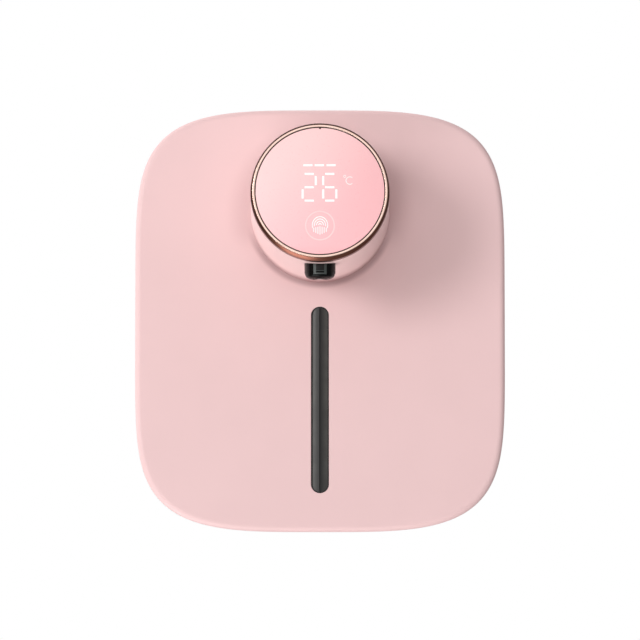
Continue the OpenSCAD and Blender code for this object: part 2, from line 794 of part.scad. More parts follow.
module diaphragm() color(rubber_grey) {
    motor_ring(9.9, 10.7, membrane_z, membrane_z + 1.4);
    translate(pump_at + [0, 0, membrane_z]) cylinder(h = 0.9, r = 10);
    for (a = [0:120:240]) translate(pump_at) rotate([0, 0, a])
        translate([chamber_r, 0, membrane_z + 0.9]) {
            cylinder(h = 1.6, r1 = 3.1, r2 = 2.2);
            cylinder(h = wobble_z - 2.6 - membrane_z, r = 1);
        }
}

module valve_plate() color(white_plastic) difference() {
    motor_ring(0.9, pump_r, plate_z, membrane_z);
    for (a = [0:120:240]) translate(pump_at) rotate([0, 0, a]) {
        translate([chamber_r + 1.2, 0, plate_z - 1]) cylinder(h = 5, r = 0.8);
        translate([3, 0, plate_z - 1]) cylinder(h = 5, r = 0.7);
    }
    screw_places(plate_z - 1) cylinder(h = 5, r = 1.1);
}

module valves() color(rubber_grey) {
    for (a = [0:120:240]) translate(pump_at) rotate([0, 0, a])
        translate([chamber_r + 1.2, 0, plate_z - 0.5]) cylinder(h = 0.5, r = 1.7);
    translate(pump_at + [0, 0, plate_z - 0.6]) cylinder(h = 0.6, r = 4.2);
    translate(pump_at + [0, 0, plate_z]) cylinder(h = 2.4, r = 0.9);
}

module screw_places(z) for (a = [60:120:300]) translate(pump_at) rotate([0, 0, a])
    translate([11.8, 0, z]) children();

module pump_housing() color(black_plastic) difference() {
    union() {
        motor_ring(11, pump_r, membrane_z, housing_top);
        motor_ring(6.2, pump_r, housing_top - 1.6, housing_top);
        intersection() {
            motor_ring(9.5, pump_r, membrane_z + 1.5, housing_top);
            screw_places(membrane_z) cylinder(h = 20, r = 2.2);
        }
    }
    screw_places(membrane_z - 1) cylinder(h = 9, r = small_screw_r);
}

module pump_cover() color(black_plastic) difference() {
    union() {
        motor_ring(0, pump_r, cover_z, plate_z);
        for (y = [outlet_y, inlet_y]) translate([pump_at[0], y, nipple_z]) rotate([0, 90, 0])
            cylinder(h = nipple_end_x - pump_at[0], r = y == outlet_y ? 1.06 : 0.84);
    }
    // Inner outlet well and outer inlet channel, apart from each other
    motor_ring(0, 4.6, cover_z + 1.5, plate_z + 1);
    motor_ring(5.8, 10.2, cover_z + 1.5, plate_z + 1);
    translate([pump_at[0] - 0.3, outlet_y, nipple_z]) rotate([0, 90, 0])
        cylinder(h = 30, r = 0.6);
    translate([pump_at[0] + 2, inlet_y, nipple_z]) rotate([0, 90, 0]) cylinder(h = 30, r = 0.5);
    screw_places(cover_z - 1) cylinder(h = 12, r = 1.1);
}

module pump_screws() color(steel) screw_places(cover_z + 1.2) screw(small_screw_r, 16, 1.1, 1.2);

module pump_bracket() color(white_plastic) {
    difference() {
        union() {
            motor_ring(pump_r + 0.1, pump_r + 1.3, 12, 20);
            block([-33, pump_at[1] + 12, 12], [-27, -6, 20]);
        }
        motor_ring(0, pump_r + 0.1, 11, 21);
        translate([pump_at[0] - 20, pump_at[1] - 20, 11]) cube([40, 16, 10]);
        translate([pump_at[0] + 9, pump_at[1] - 20, 11]) cube([20, 40, 10]);
    }
}

// ---- Battery and electronics ----

module battery_cell() color(battery_blue) translate(cell_at) {
    cylinder(h = cell_len - 1, r = cell_r);
    translate([0, 0, cell_len - 1]) cylinder(h = 1, r = 3);
}

module battery_cradle() color(black_plastic) {
    difference() {
        union() {
            translate(cell_at - [0, 0, 1.2]) cylinder(h = cell_len + 2.4, r = cell_r + 1.6);
            for (z = [8, 16]) block([26, -14, z], [29, -6, z + 4]);
        }
        translate(cell_at) cylinder(h = cell_len, r = cell_r + 0.2);
        block([10, -60, 0], [50, cell_at[1] - 1.5, 60]);
        // Clearance to the rounded corner of the casing
        block([cell_at[0] + 6.5, -40, cell_at[2] + cell_len - 2], [50, 0, 60]);
    }
}

module main_board() color(board_green) difference() {
    block([-board_x, board_back_y - board_t, board_bottom], [board_x, board_back_y, board_top]);
    board_post_places() cylinder(h = 10, r = 1.1);
}

module board_parts() color(black_plastic) {
    block([-6, board_back_y, 33], [4, board_back_y + 1.6, 43]);
    block([12, board_back_y, 30], [18, board_back_y + 2.2, 36]);
    for (x = [-24:6:-12]) translate([x, board_back_y, 34]) rotate([-90, 0, 0])
        cylinder(h = 3.4, r = 2);
    for (x = [8:3:23]) block([x, board_back_y, 41], [x + 1.6, board_back_y + 0.8, 42.4]);
}

module board_screws() color(steel) for (x = [-1, 1], z = [board_bottom + 3.5, board_top - 3.5])
    translate([x * (board_x - 3.5), board_back_y - board_t, z]) rotate([-90, 0, 0])
        screw(small_screw_r, 5, 1.9, 0.85);

module usb_socket() color(steel) port_frame() {
    rotate([0, -90, 0]) translate([0, 0, 2.5]) difference() {
        linear_extrude(8) stadium_port(1.6);
        translate([0, 0, -1]) linear_extrude(6.5) stadium_port(1.3);
    }
    block([-8.2, -2.4, -0.35], [-3.2, 2.4, 0.35]);
}

module stadium_port(r) {
    for (s = [-1, 1]) translate([0, s * 3.1]) circle(r);
    translate([-r, -3.1]) square([2 * r, 6.2]);
}

module port_plug() color(rubber_grey) port_frame() {
    flap_x = flap_pivot[0] - flap_t / 2;
    block([flap_x, -7.6, -4.1], [flap_x + flap_t, 7.6, flap_pivot[2]]);
    translate([flap_pivot[0], 7.6, flap_pivot[2]]) rotate([90, 0, 0])
        cylinder(h = 15.2, r = flap_t / 2);
    translate([flap_pivot[0], 8.9, flap_pivot[2]]) rotate([90, 0, 0]) cylinder(h = 17.8, r = 0.59);
    block([flap_x - 0.9, -4.2, -1.2], [flap_x, 4.2, 1.3]);
}

module wiring() color(rubber_grey) {
    // Board to display
    wire([[-19, -10.2, 38], [-19, -11.6, 38], [-16.75, -17, 38], [-16.75, -29, 38],
          [-12, -36, 38], [-7, -40, 38], [-6, -50, 38], [-6, 0.1 - panel_back, 38]],
         [0, 0, 1], wire_r);
    // Board to motor
    wire([[-23, -10.2, 48], [-23, -11.4, 48.6], [-23, -13.4, 53], [-22.6, -17, 55.2],
          [-22.2, -23.2, 54.8]], [1, 0, 0], wire_r);
    // Board to battery
    wire([[22, -10.2, 48], [21.4, -11.4, 48.8], [19.2, -12, 52], [19.4, -14, 55],
          [23, -18, 56.4], [27, -21.4, 56.6], [28.2, -22, 56.2], [28.2, -22, 55.1]],
         [0, 0, 1], wire_r);
    // Board to charging port
    wire([[33, -10.2, 33], [33.4, -11.4, 32.6], [38, -13, 28], [41, -16, 21], [41, -21, 15.5],
          [41, -23.6, 14.2], [42.7, -23.4, 14]], [0, 0, 1], wire_r);
}

wall_plate();
adhesive_pad();
rear_cover();
wall_bumpers();
rear_cover_screws();
front_shell();
level_window();
window_seal();
tank_shell();
tank_cover();
fill_collar();
refill_lid();
lid_gasket();
lid_pin();
suction_filter();
suction_hose();
head_tube();
head_screws();
bezel_ring();
display_lens();
display_mask();
display_board();
led_elements();
touch_spring();
nozzle_shroud();
nozzle_spout();
mesh_cartridge();
foam_screens();
sensor_window();
sensor_board();
ir_diodes();
foam_hose();
motor_can();
motor_magnets();
motor_endcap();
motor_terminals();
motor_brushes();
motor_bushings();
motor_shaft();
armature();
windings();
commutator();
eccentric_wheel();
wobble_pin();
wobble_plate();
diaphragm();
valve_plate();
valves();
pump_housing();
pump_cover();
pump_screws();
pump_bracket();
battery_cell();
battery_cradle();
main_board();
board_parts();
board_screws();
usb_socket();
port_plug();
wiring();
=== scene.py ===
"""Looks of a wall-mounted foam soap dispenser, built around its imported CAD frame."""

import json
import logging
import math
from dataclasses import dataclass
from enum import Enum
from typing import ClassVar, Iterable, Sequence, Union

import bmesh
import bpy
from mathutils import Matrix, Vector


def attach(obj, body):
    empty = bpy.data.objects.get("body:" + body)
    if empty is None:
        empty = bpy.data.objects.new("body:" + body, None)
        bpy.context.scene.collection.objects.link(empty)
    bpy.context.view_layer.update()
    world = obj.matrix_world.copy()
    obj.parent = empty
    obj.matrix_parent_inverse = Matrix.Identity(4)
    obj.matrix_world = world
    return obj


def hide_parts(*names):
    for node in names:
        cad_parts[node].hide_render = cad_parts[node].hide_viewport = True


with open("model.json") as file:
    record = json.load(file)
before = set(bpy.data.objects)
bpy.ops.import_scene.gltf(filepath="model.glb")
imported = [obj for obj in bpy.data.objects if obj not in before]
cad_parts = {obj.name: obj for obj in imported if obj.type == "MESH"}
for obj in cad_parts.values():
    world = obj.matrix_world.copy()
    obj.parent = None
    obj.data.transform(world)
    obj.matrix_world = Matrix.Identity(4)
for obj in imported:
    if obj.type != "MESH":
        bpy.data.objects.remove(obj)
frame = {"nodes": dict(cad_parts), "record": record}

LOG = logging.getLogger("dispenser")
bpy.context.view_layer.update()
MM = 0.001
FULL_TURN = 2 * math.pi

Pair = tuple[float, float]
Triple = tuple[float, float, float]
Colour = tuple[float, float, float, float]
Feed = Union["Signal", bpy.types.NodeSocket, float, Sequence[float]]


class Body(Enum):
    """The moving bodies of the frame."""

    BRACKET = "wall_bracket"
    DISPENSER = "dispenser"
    LID = "lid"
    FLAP = "port_flap"


class Cut(Enum):
    """Ways in which one solid acts on another."""

    REMOVE = "DIFFERENCE"
    JOIN = "UNION"
    KEEP_COMMON = "INTERSECT"


def shade(red: int, green: int, blue: int) -> Colour:
    """Turns a display colour into the linear values that a shader takes.

    Args:
        red: Red from 0 to 255.
        green: Green from 0 to 255.
        blue: Blue from 0 to 255.

    Returns:
        The linear colour with full opacity.
    """
    def linear(value: int) -> float:
        """Linear value of one channel."""
        part = value / 255
        return part / 12.92 if part <= 0.04045 else ((part + 0.055) / 1.055) ** 2.4

    return (linear(red), linear(green), linear(blue), 1.0)


# ---- Shader building ----


class Signal:
    """A number that varies over a surface and takes part in Python arithmetic."""

    def __init__(self, shader: "Shader", socket: bpy.types.NodeSocket) -> None:
        """Wraps a socket of a shader's tree."""
        self.shader = shader
        self.socket = socket

    def _join(self, operation: str, *values: Feed) -> "Signal":
        """Adds a Math node for an operation on values."""
        feeds = dict(enumerate(values))
        node = self.shader.add("ShaderNodeMath", {"operation": operation}, feeds)
        return Signal(self.shader, node.outputs[0])

    def __add__(self, other: Feed) -> "Signal":
        """Sum with another value."""
        return self._join("ADD", self, other)

    __radd__ = __add__

    def __sub__(self, other: Feed) -> "Signal":
        """This value less another."""
        return self._join("SUBTRACT", self, other)

    def __rsub__(self, other: Feed) -> "Signal":
        """Another value less this one."""
        return self._join("SUBTRACT", other, self)

    def __mul__(self, other: Feed) -> "Signal":
        """Product with another value."""
        return self._join("MULTIPLY", self, other)

    __rmul__ = __mul__

    def __truediv__(self, other: Feed) -> "Signal":
        """This value over another."""
        return self._join("DIVIDE", self, other)

    def __rtruediv__(self, other: Feed) -> "Signal":
        """Another value over this one."""
        return self._join("DIVIDE", other, self)

    def fold(self, width: float) -> "Signal":
        """This value running up and down between 0 and a width."""
        return self._join("PINGPONG", self, width)

    def above(self, limit: float) -> "Signal":
        """One where the value is over a limit, and zero elsewhere."""
        return self._join("GREATER_THAN", self, limit)

    def ramp(self, low: float, high: float, start: float = 0.0, end: float = 1.0) -> "Signal":
        """Smooth step between two limits.

        Args:
            low: Value at which the result is start.
            high: Value at which the result is end.
            start: Result at and below low.
            end: Result at and above high.

        Returns:
            The stepped value.
        """
        node = self.shader.add(
            "ShaderNodeMapRange",
            {"interpolation_type": "SMOOTHSTEP"},
            {0: self, 1: low, 2: high, 3: start, 4: end},
        )
        return Signal(self.shader, node.outputs[0])


class Shader:
    """Node tree of a material or of the world."""

    def __init__(self, tree: bpy.types.NodeTree) -> None:
        """Starts with an empty tree."""
        self.tree = tree
        self.tree.nodes.clear()
        self._place: bpy.types.NodeSocket | None = None

    def add(
        self,
        kind: str,
        settings: dict[str, object] | None = None,
        feeds: dict[int | str, Feed] | None = None,
    ) -> bpy.types.Node:
        """Adds a node.

        Args:
            kind: The node's type.
            settings: Attributes set before its sockets; stops are a ramp's colours.
            feeds: Values or links of its input sockets, by index or name.

        Returns:
            The node.
        """
        node = self.tree.nodes.new(kind)
        for key, value in (settings or {}).items():
            if key == "stops":
                self._set_stops(node, value)
            else:
                setattr(node, key, value)
        for key, value in (feeds or {}).items():
            socket = node.inputs[key]
            if isinstance(value, Signal):
                self.tree.links.new(value.socket, socket)
            elif isinstance(value, bpy.types.NodeSocket):
                self.tree.links.new(value, socket)
            else:
                socket.default_value = value
        return node

    @staticmethod
    def _set_stops(node: bpy.types.Node, stops: Sequence[tuple[float, Colour]]) -> None:
        """Writes a colour ramp's stops, in order."""
        elements = node.color_ramp.elements
        while len(elements) > 1:
            elements.remove(elements[-1])
        for number, (place, colour) in enumerate(stops):
            element = elements[0] if number == 0 else elements.new(place)
            element.position = place
            element.color = colour

    @property
    def place(self) -> bpy.types.NodeSocket:
        """Object coordinates, in metres in the frame."""
        if self._place is None:
            self._place = self.add("ShaderNodeTexCoord").outputs["Object"]
        return self._place

    def axes(self, centre: Triple = (0.0, 0.0, 0.0)) -> tuple[Signal, Signal, Signal]:
        """Distances from a point along X, Y and Z.

        Args:
            centre: The point, in millimetres.

        Returns:
            The three distances, in millimetres.
        """
        node = self.add("ShaderNodeSeparateXYZ", feeds={0: self.place})
        parts = (Signal(self, output) for output in node.outputs)
        return tuple(part / MM - middle for part, middle in zip(parts, centre))

    def noise(
        self, grain: float, detail: float = 2.0, stretch: Triple = (1.0, 1.0, 1.0)
    ) -> Signal:
        """Even noise between 0 and 1.

        Args:
            grain: Size of its features, in millimetres.
            detail: Number of finer layers.
            stretch: Factor on the frequency along each axis.

        Returns:
            The noise value.
        """
        mapping = self.add("ShaderNodeMapping", feeds={0: self.place, 3: stretch})
        node = self.add(
            "ShaderNodeTexNoise",
            feeds={"Vector": mapping.outputs[0], "Scale": 1 / (grain * MM), "Detail": detail},
        )
        return Signal(self, node.outputs[0])

    def blend(self, factor: Feed, first: Feed, second: Feed) -> bpy.types.NodeSocket:
        """Mixes two colours.

        Args:
            factor: Share of the second colour.
            first: Colour at 0.
            second: Colour at 1.

        Returns:
            The mixed colour's socket.
        """
        node = self.add(
            "ShaderNodeMix", {"data_type": "RGBA"}, {0: factor, 6: first, 7: second}
        )
        return node.outputs[2]

    def bump(self, height: Signal, depth: float, strength: float = 1.0) -> bpy.types.NodeSocket:
        """Turns a height into a normal.

        Args:
            height: Relief from 0 to 1.
            depth: Relief at 1, in millimetres.
            strength: Share of the relief that shows.

        Returns:
            The normal's socket.
        """
        node = self.add(
            "ShaderNodeBump",
            feeds={"Strength": strength, "Distance": depth * MM, "Height": height},
        )
        return node.outputs[0]

    def finish(self, feeds: dict[int | str, Feed]) -> None:
        """Closes a material's tree with a Principled shader.

        Args:
            feeds: Values or links of its sockets.
        """
        principled = self.add("ShaderNodeBsdfPrincipled", feeds=feeds)
        self.add("ShaderNodeOutputMaterial", feeds={0: principled.outputs[0]})


# ---- Finishes ----


@dataclass(frozen=True)
class Finish:
    """A surface finish that makes its material once."""

    name: str

    MADE: ClassVar[dict[str, bpy.types.Material]] = {}

    def material(self) -> bpy.types.Material:
        """The material of this finish, built at its first use."""
        if self.name not in self.MADE:
            material = bpy.data.materials.new("finish_" + self.name)
            material.use_nodes = True
            self.MADE[self.name] = material
            self.build(Shader(material.node_tree))
        return self.MADE[self.name]

    def build(self, shader: Shader) -> None:
        """Builds the node tree; each kind of finish has its own."""
        raise NotImplementedError


@dataclass(frozen=True)
class MouldedPlastic(Finish):
    """Injection-moulded plastic with a spark-eroded grain."""

    colour: Colour
    roughness: float = 0.5
    grain: float = 0.28
    relief: float = 0.006
    mottle: float = 0.03
    coat: float = 0.0
    coat_roughness: float = 0.2
    specular: float = 0.4

    def build(self, shader: Shader) -> None:
        """Grain in the normal and roughness, and a faint flow mottle in the colour."""
        red, green, blue, _ = self.colour
        low = tuple(part * (1 - self.mottle) for part in (red, green, blue)) + (1.0,)
        high = tuple(min(1.0, part * (1 + self.mottle)) for part in (red, green, blue)) + (1.0,)
        fine = shader.noise(self.grain, 3)
        flow = shader.noise(22, 2)
        tone = (flow * 0.7 + fine * 0.3).ramp(0.3, 0.7)
        shader.finish({
            "Base Color": self.add_painted_light(shader, shader.blend(tone, low, high)),
            "Roughness": fine.ramp(0.25, 0.75, self.roughness - 0.05, self.roughness + 0.05),
            "Specular IOR Level": self.specular,
            "Coat Weight": self.coat,
            "Coat Roughness": self.coat_roughness,
            "Normal": shader.bump(fine, self.relief),
        })

    def add_painted_light(self, shader: Shader, colour: bpy.types.NodeSocket) -> bpy.types.NodeSocket:
        """The colour with the painted shade and reflections that subclasses add; here as it is."""
        return colour


@dataclass(frozen=True)
class ShellPlastic(MouldedPlastic):
    """Moulded plastic of the casing, with painted shade round the foot of the head."""

    painted_shade: Colour = (0.0, 0.0, 0.0, 1.0)
    axis_z: float = 32.6
    foot: float = 21.0

    def add_painted_light(self, shader: Shader, colour: bpy.types.NodeSocket) -> bpy.types.NodeSocket:
        """Paints shade into the colour in the crevice at the foot and a little beyond it."""
        across, out, up = shader.axes((0.0, 0.0, self.axis_z))
        away = across * across + up * up
        # Painted shade: the crevice at the head's foot and a wider ring round it blend to a darker
        # colour
        crevice = away.ramp((self.foot + 0.5) ** 2, (self.foot + 2.4) ** 2, 0.72, 0.0)
        round_it = away.ramp((self.foot + 1.0) ** 2, (self.foot + 8.5) ** 2, 0.28, 0.0)
        front = out.ramp(-42.0, -41.0, 1.0, 0.0)
        low = up.ramp(-13.0, -4.0, 1.0, 0.0)
        share = (crevice * low + round_it * (1 - low)) * front
        return shader.blend(share, colour, self.painted_shade)


@dataclass(frozen=True)
class NozzlePlastic(MouldedPlastic):
    """Glossy black plastic, with a painted grey reflection at its sides."""

    painted_edge_reflection: Colour = (0.0, 0.0, 0.0, 1.0)

    def add_painted_light(self, shader: Shader, colour: bpy.types.NodeSocket) -> bpy.types.NodeSocket:
        """Blends to the painted reflection's grey away from the middle."""
        across, _, _ = shader.axes()
        # Painted reflection: grey at the sides stands in for what the glossy black reflects there
        return shader.blend(across.fold(50.0).ramp(2.9, 4.3), colour, self.painted_edge_reflection)


@dataclass(frozen=True)
class BarrelPlastic(Finish):
    """Satin plastic of the head's barrel, with painted shade on its underside near its foot."""

    colour: Colour
    foot: Colour
    axis_z: float
    panel_y: float
    reach: float

    def build(self, shader: Shader) -> None:
        """Paints shade on the underside where it meets the panel, under a satin coat."""
        _, out, up = shader.axes((0.0, self.panel_y, self.axis_z))
        near = out.ramp(-self.reach, -0.5)
        under = up.ramp(-16, 2, 1.0, 0.0)
        fine = shader.noise(0.28, 3)
        shader.finish({
            # Painted shade: the underside blends to the foot colour towards the panel
            "Base Color": shader.blend(near * under, self.colour, self.foot),
            "Roughness": fine.ramp(0.25, 0.75, 0.33, 0.41),
            "Coat Weight": 0.4,
            "Coat Roughness": 0.3,
            "Normal": shader.bump(fine, 0.003),
        })


@dataclass(frozen=True)
class TintedLens(Finish):
    """Display lens, paler towards its upper left corner as a painted reflection, with a faint painted
    glow.
    """

    pale: Colour
    deep: Colour
    centre: Triple
    reach: float
    glow: float = 0.12

    def build(self, shader: Shader) -> None:
        """A slanting painted reflection in the colour, also fed to a painted glow, under a clear hard
        coat.
        """
        across, _, up = shader.axes(self.centre)
        # Painted reflection: the lens turns paler towards its upper left corner
        slant = (across * 0.66 - up * 0.75) / self.reach
        drift = shader.noise(9, 2) - 0.5
        tone = (slant + drift * 0.12).ramp(-0.95, 0.6)
        painted_reflection_tint = shader.blend(tone, self.pale, self.deep)
        haze = shader.noise(0.5, 2)
        shader.finish({
            "Base Color": painted_reflection_tint,
            "Roughness": haze.ramp(0.2, 0.8, 0.26, 0.34),
            "Specular IOR Level": 0.5,
            "Coat Weight": 1.0,
            "Coat Roughness": 0.05,
            # Painted glow: the whole lens gives off light in its tinted colour
            "Emission Color": painted_reflection_tint,
            "Emission Strength": self.glow,
        })


@dataclass(frozen=True)
class PlatedMetal(Finish):
    """Metal with a fine brushed or turned surface."""

    colour: Colour
    shadow: Colour
    roughness: float = 0.2
    grain: float = 0.12
    stretch: Triple = (1.0, 1.0, 1.0)
    relief: float = 0.002

    def build(self, shader: Shader) -> None:
        """Streaks in the roughness and normal, and a slight tarnish in the colour."""
        streak = shader.noise(self.grain, 3, self.stretch)
        tarnish = shader.noise(6, 3).ramp(0.35, 0.75)
        shader.finish({
            "Base Color": shader.blend(tarnish * 0.35, self.colour, self.shadow),
            "Metallic": 1.0,
            "Roughness": streak.ramp(0.2, 0.8, self.roughness - 0.05, self.roughness + 0.07),
            "Normal": shader.bump(streak, self.relief, 0.6),
        })


@dataclass(frozen=True)
class Rubber(Finish):
    """Soft moulded rubber or silicone."""

    colour: Colour
    dust: Colour
    roughness: float = 0.7

    def build(self, shader: Shader) -> None:
        """A dull grain with a trace of dust."""
        fine = shader.noise(0.35, 4)
        dusty = shader.noise(7, 4).ramp(0.45, 0.8)
        shader.finish({
            "Base Color": shader.blend(dusty * 0.4, self.colour, self.dust),
            "Roughness": fine.ramp(0.2, 0.8, self.roughness - 0.08, self.roughness + 0.1),
            "Specular IOR Level": 0.35,
            "Sheen Weight": 0.15,
            "Normal": shader.bump(fine, 0.012),
        })


@dataclass(frozen=True)
class ClearPlastic(Finish):
    """See-through plastic or silicone with a milky body."""

    colour: Colour
    milk: Colour
    clearness: float = 0.7
    roughness: float = 0.18

    def build(self, shader: Shader) -> None:
        """Clear body with faint flow lines."""
        flow = shader.noise(4, 3, (1.0, 1.0, 0.25))
        shader.finish({
            "Base Color": shader.blend(flow.ramp(0.3, 0.8), self.colour, self.milk),
            "Roughness": flow.ramp(0.2, 0.8, self.roughness - 0.04, self.roughness + 0.08),
            "IOR": 1.46,
            "Transmission Weight": self.clearness,
            "Normal": shader.bump(flow, 0.01, 0.4),
        })


@dataclass(frozen=True)
class SmokedWindow(Finish):
    """Dark smoked plastic with a polished face."""

    colour: Colour
    haze: Colour
    core: Colour
    roughness: float = 0.3

    def build(self, shader: Shader) -> None:
        """Smoke of uneven depth, with painted shade along the middle, under a satin polish."""
        cloud = shader.noise(5, 3)
        fine = shader.noise(0.3, 3)
        across, _, _ = shader.axes()
        smoke = shader.blend(cloud.ramp(0.35, 0.7), self.colour, self.haze)
        shader.finish({
            # Painted shade: within 2.5 mm of the middle the colour darkens to the core colour
            "Base Color": shader.blend(across.fold(50.0).ramp(0.0, 2.5), self.core, smoke),
            "Roughness": fine.ramp(0.2, 0.8, self.roughness - 0.04, self.roughness + 0.05),
            "Specular IOR Level": 0.3,
            "Normal": shader.bump(fine, 0.003, 0.7),
        })


@dataclass(frozen=True)
class CircuitBoard(Finish):
    """Solder mask with copper tracks under it."""

    mask: Colour
    track: Colour
    pitch: float = 1.6

    def build(self, shader: Shader) -> None:
        """Tracks and pads from a grid of cells under a glossy mask."""
        cells = shader.add(
            "ShaderNodeTexVoronoi",
            {"feature": "DISTANCE_TO_EDGE"},
            {"Vector": shader.place, "Scale": 1 / (self.pitch * MM), "Randomness": 0.55},
        )
        line = Signal(shader, cells.outputs[0]).ramp(0.06, 0.11, 1.0, 0.0)
        weave = shader.noise(0.4, 2)
        shader.finish({
            "Base Color": shader.blend(line * 0.7, self.mask, self.track),
            "Roughness": weave.ramp(0.2, 0.8, 0.24, 0.36),
            "Coat Weight": 0.4,
            "Normal": shader.bump(line + weave * 0.2, 0.03),
        })


@dataclass(frozen=True)
class LitPrint(Finish):
    """White light-diffusing print in front of the light sources."""

    colour: Colour
    strength: float

    def build(self, shader: Shader) -> None:
        """An even glow with the slight unevenness of a diffuser."""
        cloud = shader.noise(1.1, 2).ramp(0.2, 0.8)
        glow = shader.blend(cloud * 0.12, self.colour, shade(255, 232, 228))
        shader.finish({
            "Base Color": glow,
            "Roughness": cloud.ramp(0.0, 1.0, 0.32, 0.42),
            "Emission Color": glow,
            "Emission Strength": self.strength,
        })


@dataclass(frozen=True)
class WoundCopper(Finish):
    """Enamelled copper wire laid in turns."""

    colour: Colour
    gap: Colour
    wire: float = 0.45

    def build(self, shader: Shader) -> None:
        """Round turns one above the other, with painted shade between them."""
        _, _, up = shader.axes()
        phase = up.fold(self.wire / 2) / (self.wire / 2)
        turn = phase.ramp(0.0, 0.8)
        shader.finish({
            # Painted shade: the colour darkens to the gap colour between turns
            "Base Color": shader.blend(turn, self.gap, self.colour),
            "Metallic": 0.8,
            "Roughness": turn.ramp(0.0, 1.0, 0.5, 0.28),
            "Normal": shader.bump(turn, 0.15),
        })


@dataclass(frozen=True)
class CellWrap(Finish):
    """Shrink wrap of a battery cell with a plain band near its top."""

    colour: Colour
    band: Colour
    band_low: float
    band_high: float

    def build(self, shader: Shader) -> None:
        """Thin glossy film with small creases."""
        _, _, up = shader.axes()
        inside = up.above(self.band_low) * (1 - up.above(self.band_high))
        crease = shader.noise(1.5, 4, (1.0, 1.0, 0.2))
        shader.finish({
            "Base Color": shader.blend(inside, self.colour, self.band),
            "Roughness": crease.ramp(0.3, 0.7, 0.25, 0.4),
            "Coat Weight": 0.5,
            "Normal": shader.bump(crease, 0.03, 0.5),
        })


BLUSH = MouldedPlastic("blush_shell", shade(242, 206, 206), 0.5, mottle=0.012)
# Barrel plastic: the casing's blush made slightly lighter as painted light, with a painted shade
# colour for the foot of its underside
BLUSH_SATIN = BarrelPlastic(
    "blush_satin", shade(250, 215, 213), shade(180, 138, 138), 32.6, -43.0, 11.0
)
# Display lens: pale and deep ends of a painted reflection across it
LENS = TintedLens(
    "blush_lens", shade(255, 209, 208), shade(255, 191, 195), (0.0, -93.0, 32.6), 18.8
)
ROSE_GOLD = PlatedMetal("rose_gold", shade(250, 218, 204), shade(232, 188, 168), 0.2)
# The bezel's rose gold painted darker: a painted dark reflection on its side
ROSE_GOLD_PAINTED_DARK = PlatedMetal("rose_gold_painted_dark", shade(118, 76, 64), shade(82, 48, 40), 0.26)
BLACK = MouldedPlastic(
    "black_plastic", shade(15, 13, 13), 0.28, relief=0.002, mottle=0.2, specular=0.5
)
# Casing plastic; its darker second colour is painted shade round the head's foot
SHELL = ShellPlastic(
    "casing_shell", shade(242, 206, 206), 0.5, mottle=0.012, painted_shade=shade(178, 142, 143)
)
# Nozzle black, with a painted grey reflection at its sides
NOZZLE_BLACK = NozzlePlastic(
    "nozzle_black", shade(8, 6, 6), 0.24, relief=0.001, mottle=0.2, specular=0.1,
    painted_edge_reflection=shade(72, 65, 65),
)
# Dark fill of the gap round the lens: painted shade
GAP = MouldedPlastic("gap_painted_shade", shade(58, 34, 28), 0.6, relief=0.004, mottle=0.15)
FRAME_GREY = MouldedPlastic(
    "sensor_frame", shade(66, 73, 71), 0.4, relief=0.002, mottle=0.1, specular=0.3
)
# Smoked windows: clear and hazy smoke, and a darker core colour painted in as shade along the middle
SMOKE = SmokedWindow(
    "smoked_window", shade(84, 83, 80), shade(74, 72, 70), shade(42, 41, 41), 0.36
)
EYE = SmokedWindow("sensor_glass", shade(34, 33, 32), shade(28, 28, 28), shade(20, 20, 20), 0.4)
TANK = ClearPlastic("tank_plastic", shade(226, 232, 236), shade(205, 214, 220))
HOSE = ClearPlastic("hose_silicone", shade(232, 234, 234), shade(214, 216, 216), 0.5, 0.3)
GREY_RUBBER = Rubber("grey_rubber", shade(92, 90, 90), shade(128, 124, 122))
BLUSH_RUBBER = Rubber("blush_rubber", shade(233, 194, 193), shade(240, 208, 206), 0.62)
WHITE = MouldedPlastic("white_plastic", shade(236, 235, 232), 0.42, mottle=0.02)
STEEL = PlatedMetal("steel", shade(200, 202, 206), shade(150, 152, 158), 0.3, 0.2)
MAGNET = PlatedMetal("magnet", shade(84, 84, 88), shade(58, 58, 62), 0.5, 0.5)
COPPER = PlatedMetal("copper", shade(214, 140, 104), shade(150, 92, 64), 0.3)
BRASS = PlatedMetal("brass", shade(214, 184, 118), shade(160, 130, 74), 0.28)
BOARD = CircuitBoard("circuit_board", shade(28, 92, 56), shade(70, 140, 82))
WINDING = WoundCopper("winding_wire", shade(196, 112, 70), shade(70, 32, 20))
WRAP = CellWrap("battery_wrap", shade(62, 108, 160), shade(226, 226, 222), 44.0, 47.0)
LED = LitPrint("led_diffuser", shade(250, 250, 248), 0.2)
DIGITS = LitPrint("lit_digits", shade(255, 248, 247), 0.2)
ICON = LitPrint("lit_icon", shade(255, 232, 232), 0.14)
MARK_PRINT = LitPrint("lit_mark", shade(255, 245, 244), 0.16)
FAINT_PRINT = LitPrint("faint_print", shade(255, 212, 213), 0.1)

SLOT_FINISHES: dict[str, Finish] = {
    "blush_shell": BLUSH, "blush_lens": LENS, "rose_gold": ROSE_GOLD, "black_plastic": BLACK,
    "smoked_window": SMOKE, "tank_plastic": TANK, "hose_silicone": HOSE,
    "grey_rubber": GREY_RUBBER, "blush_rubber": BLUSH_RUBBER, "white_plastic": WHITE,
    "led_diffuser": LED, "steel": STEEL, "magnet": MAGNET, "copper": COPPER, "brass": BRASS,
    "circuit_board": BOARD, "battery_wrap": WRAP,
}
NODE_FINISHES: dict[str, Finish] = {"windings": WINDING, "head_tube": BLUSH_SATIN}


# ---- Mesh building, in millimetres in the frame ----


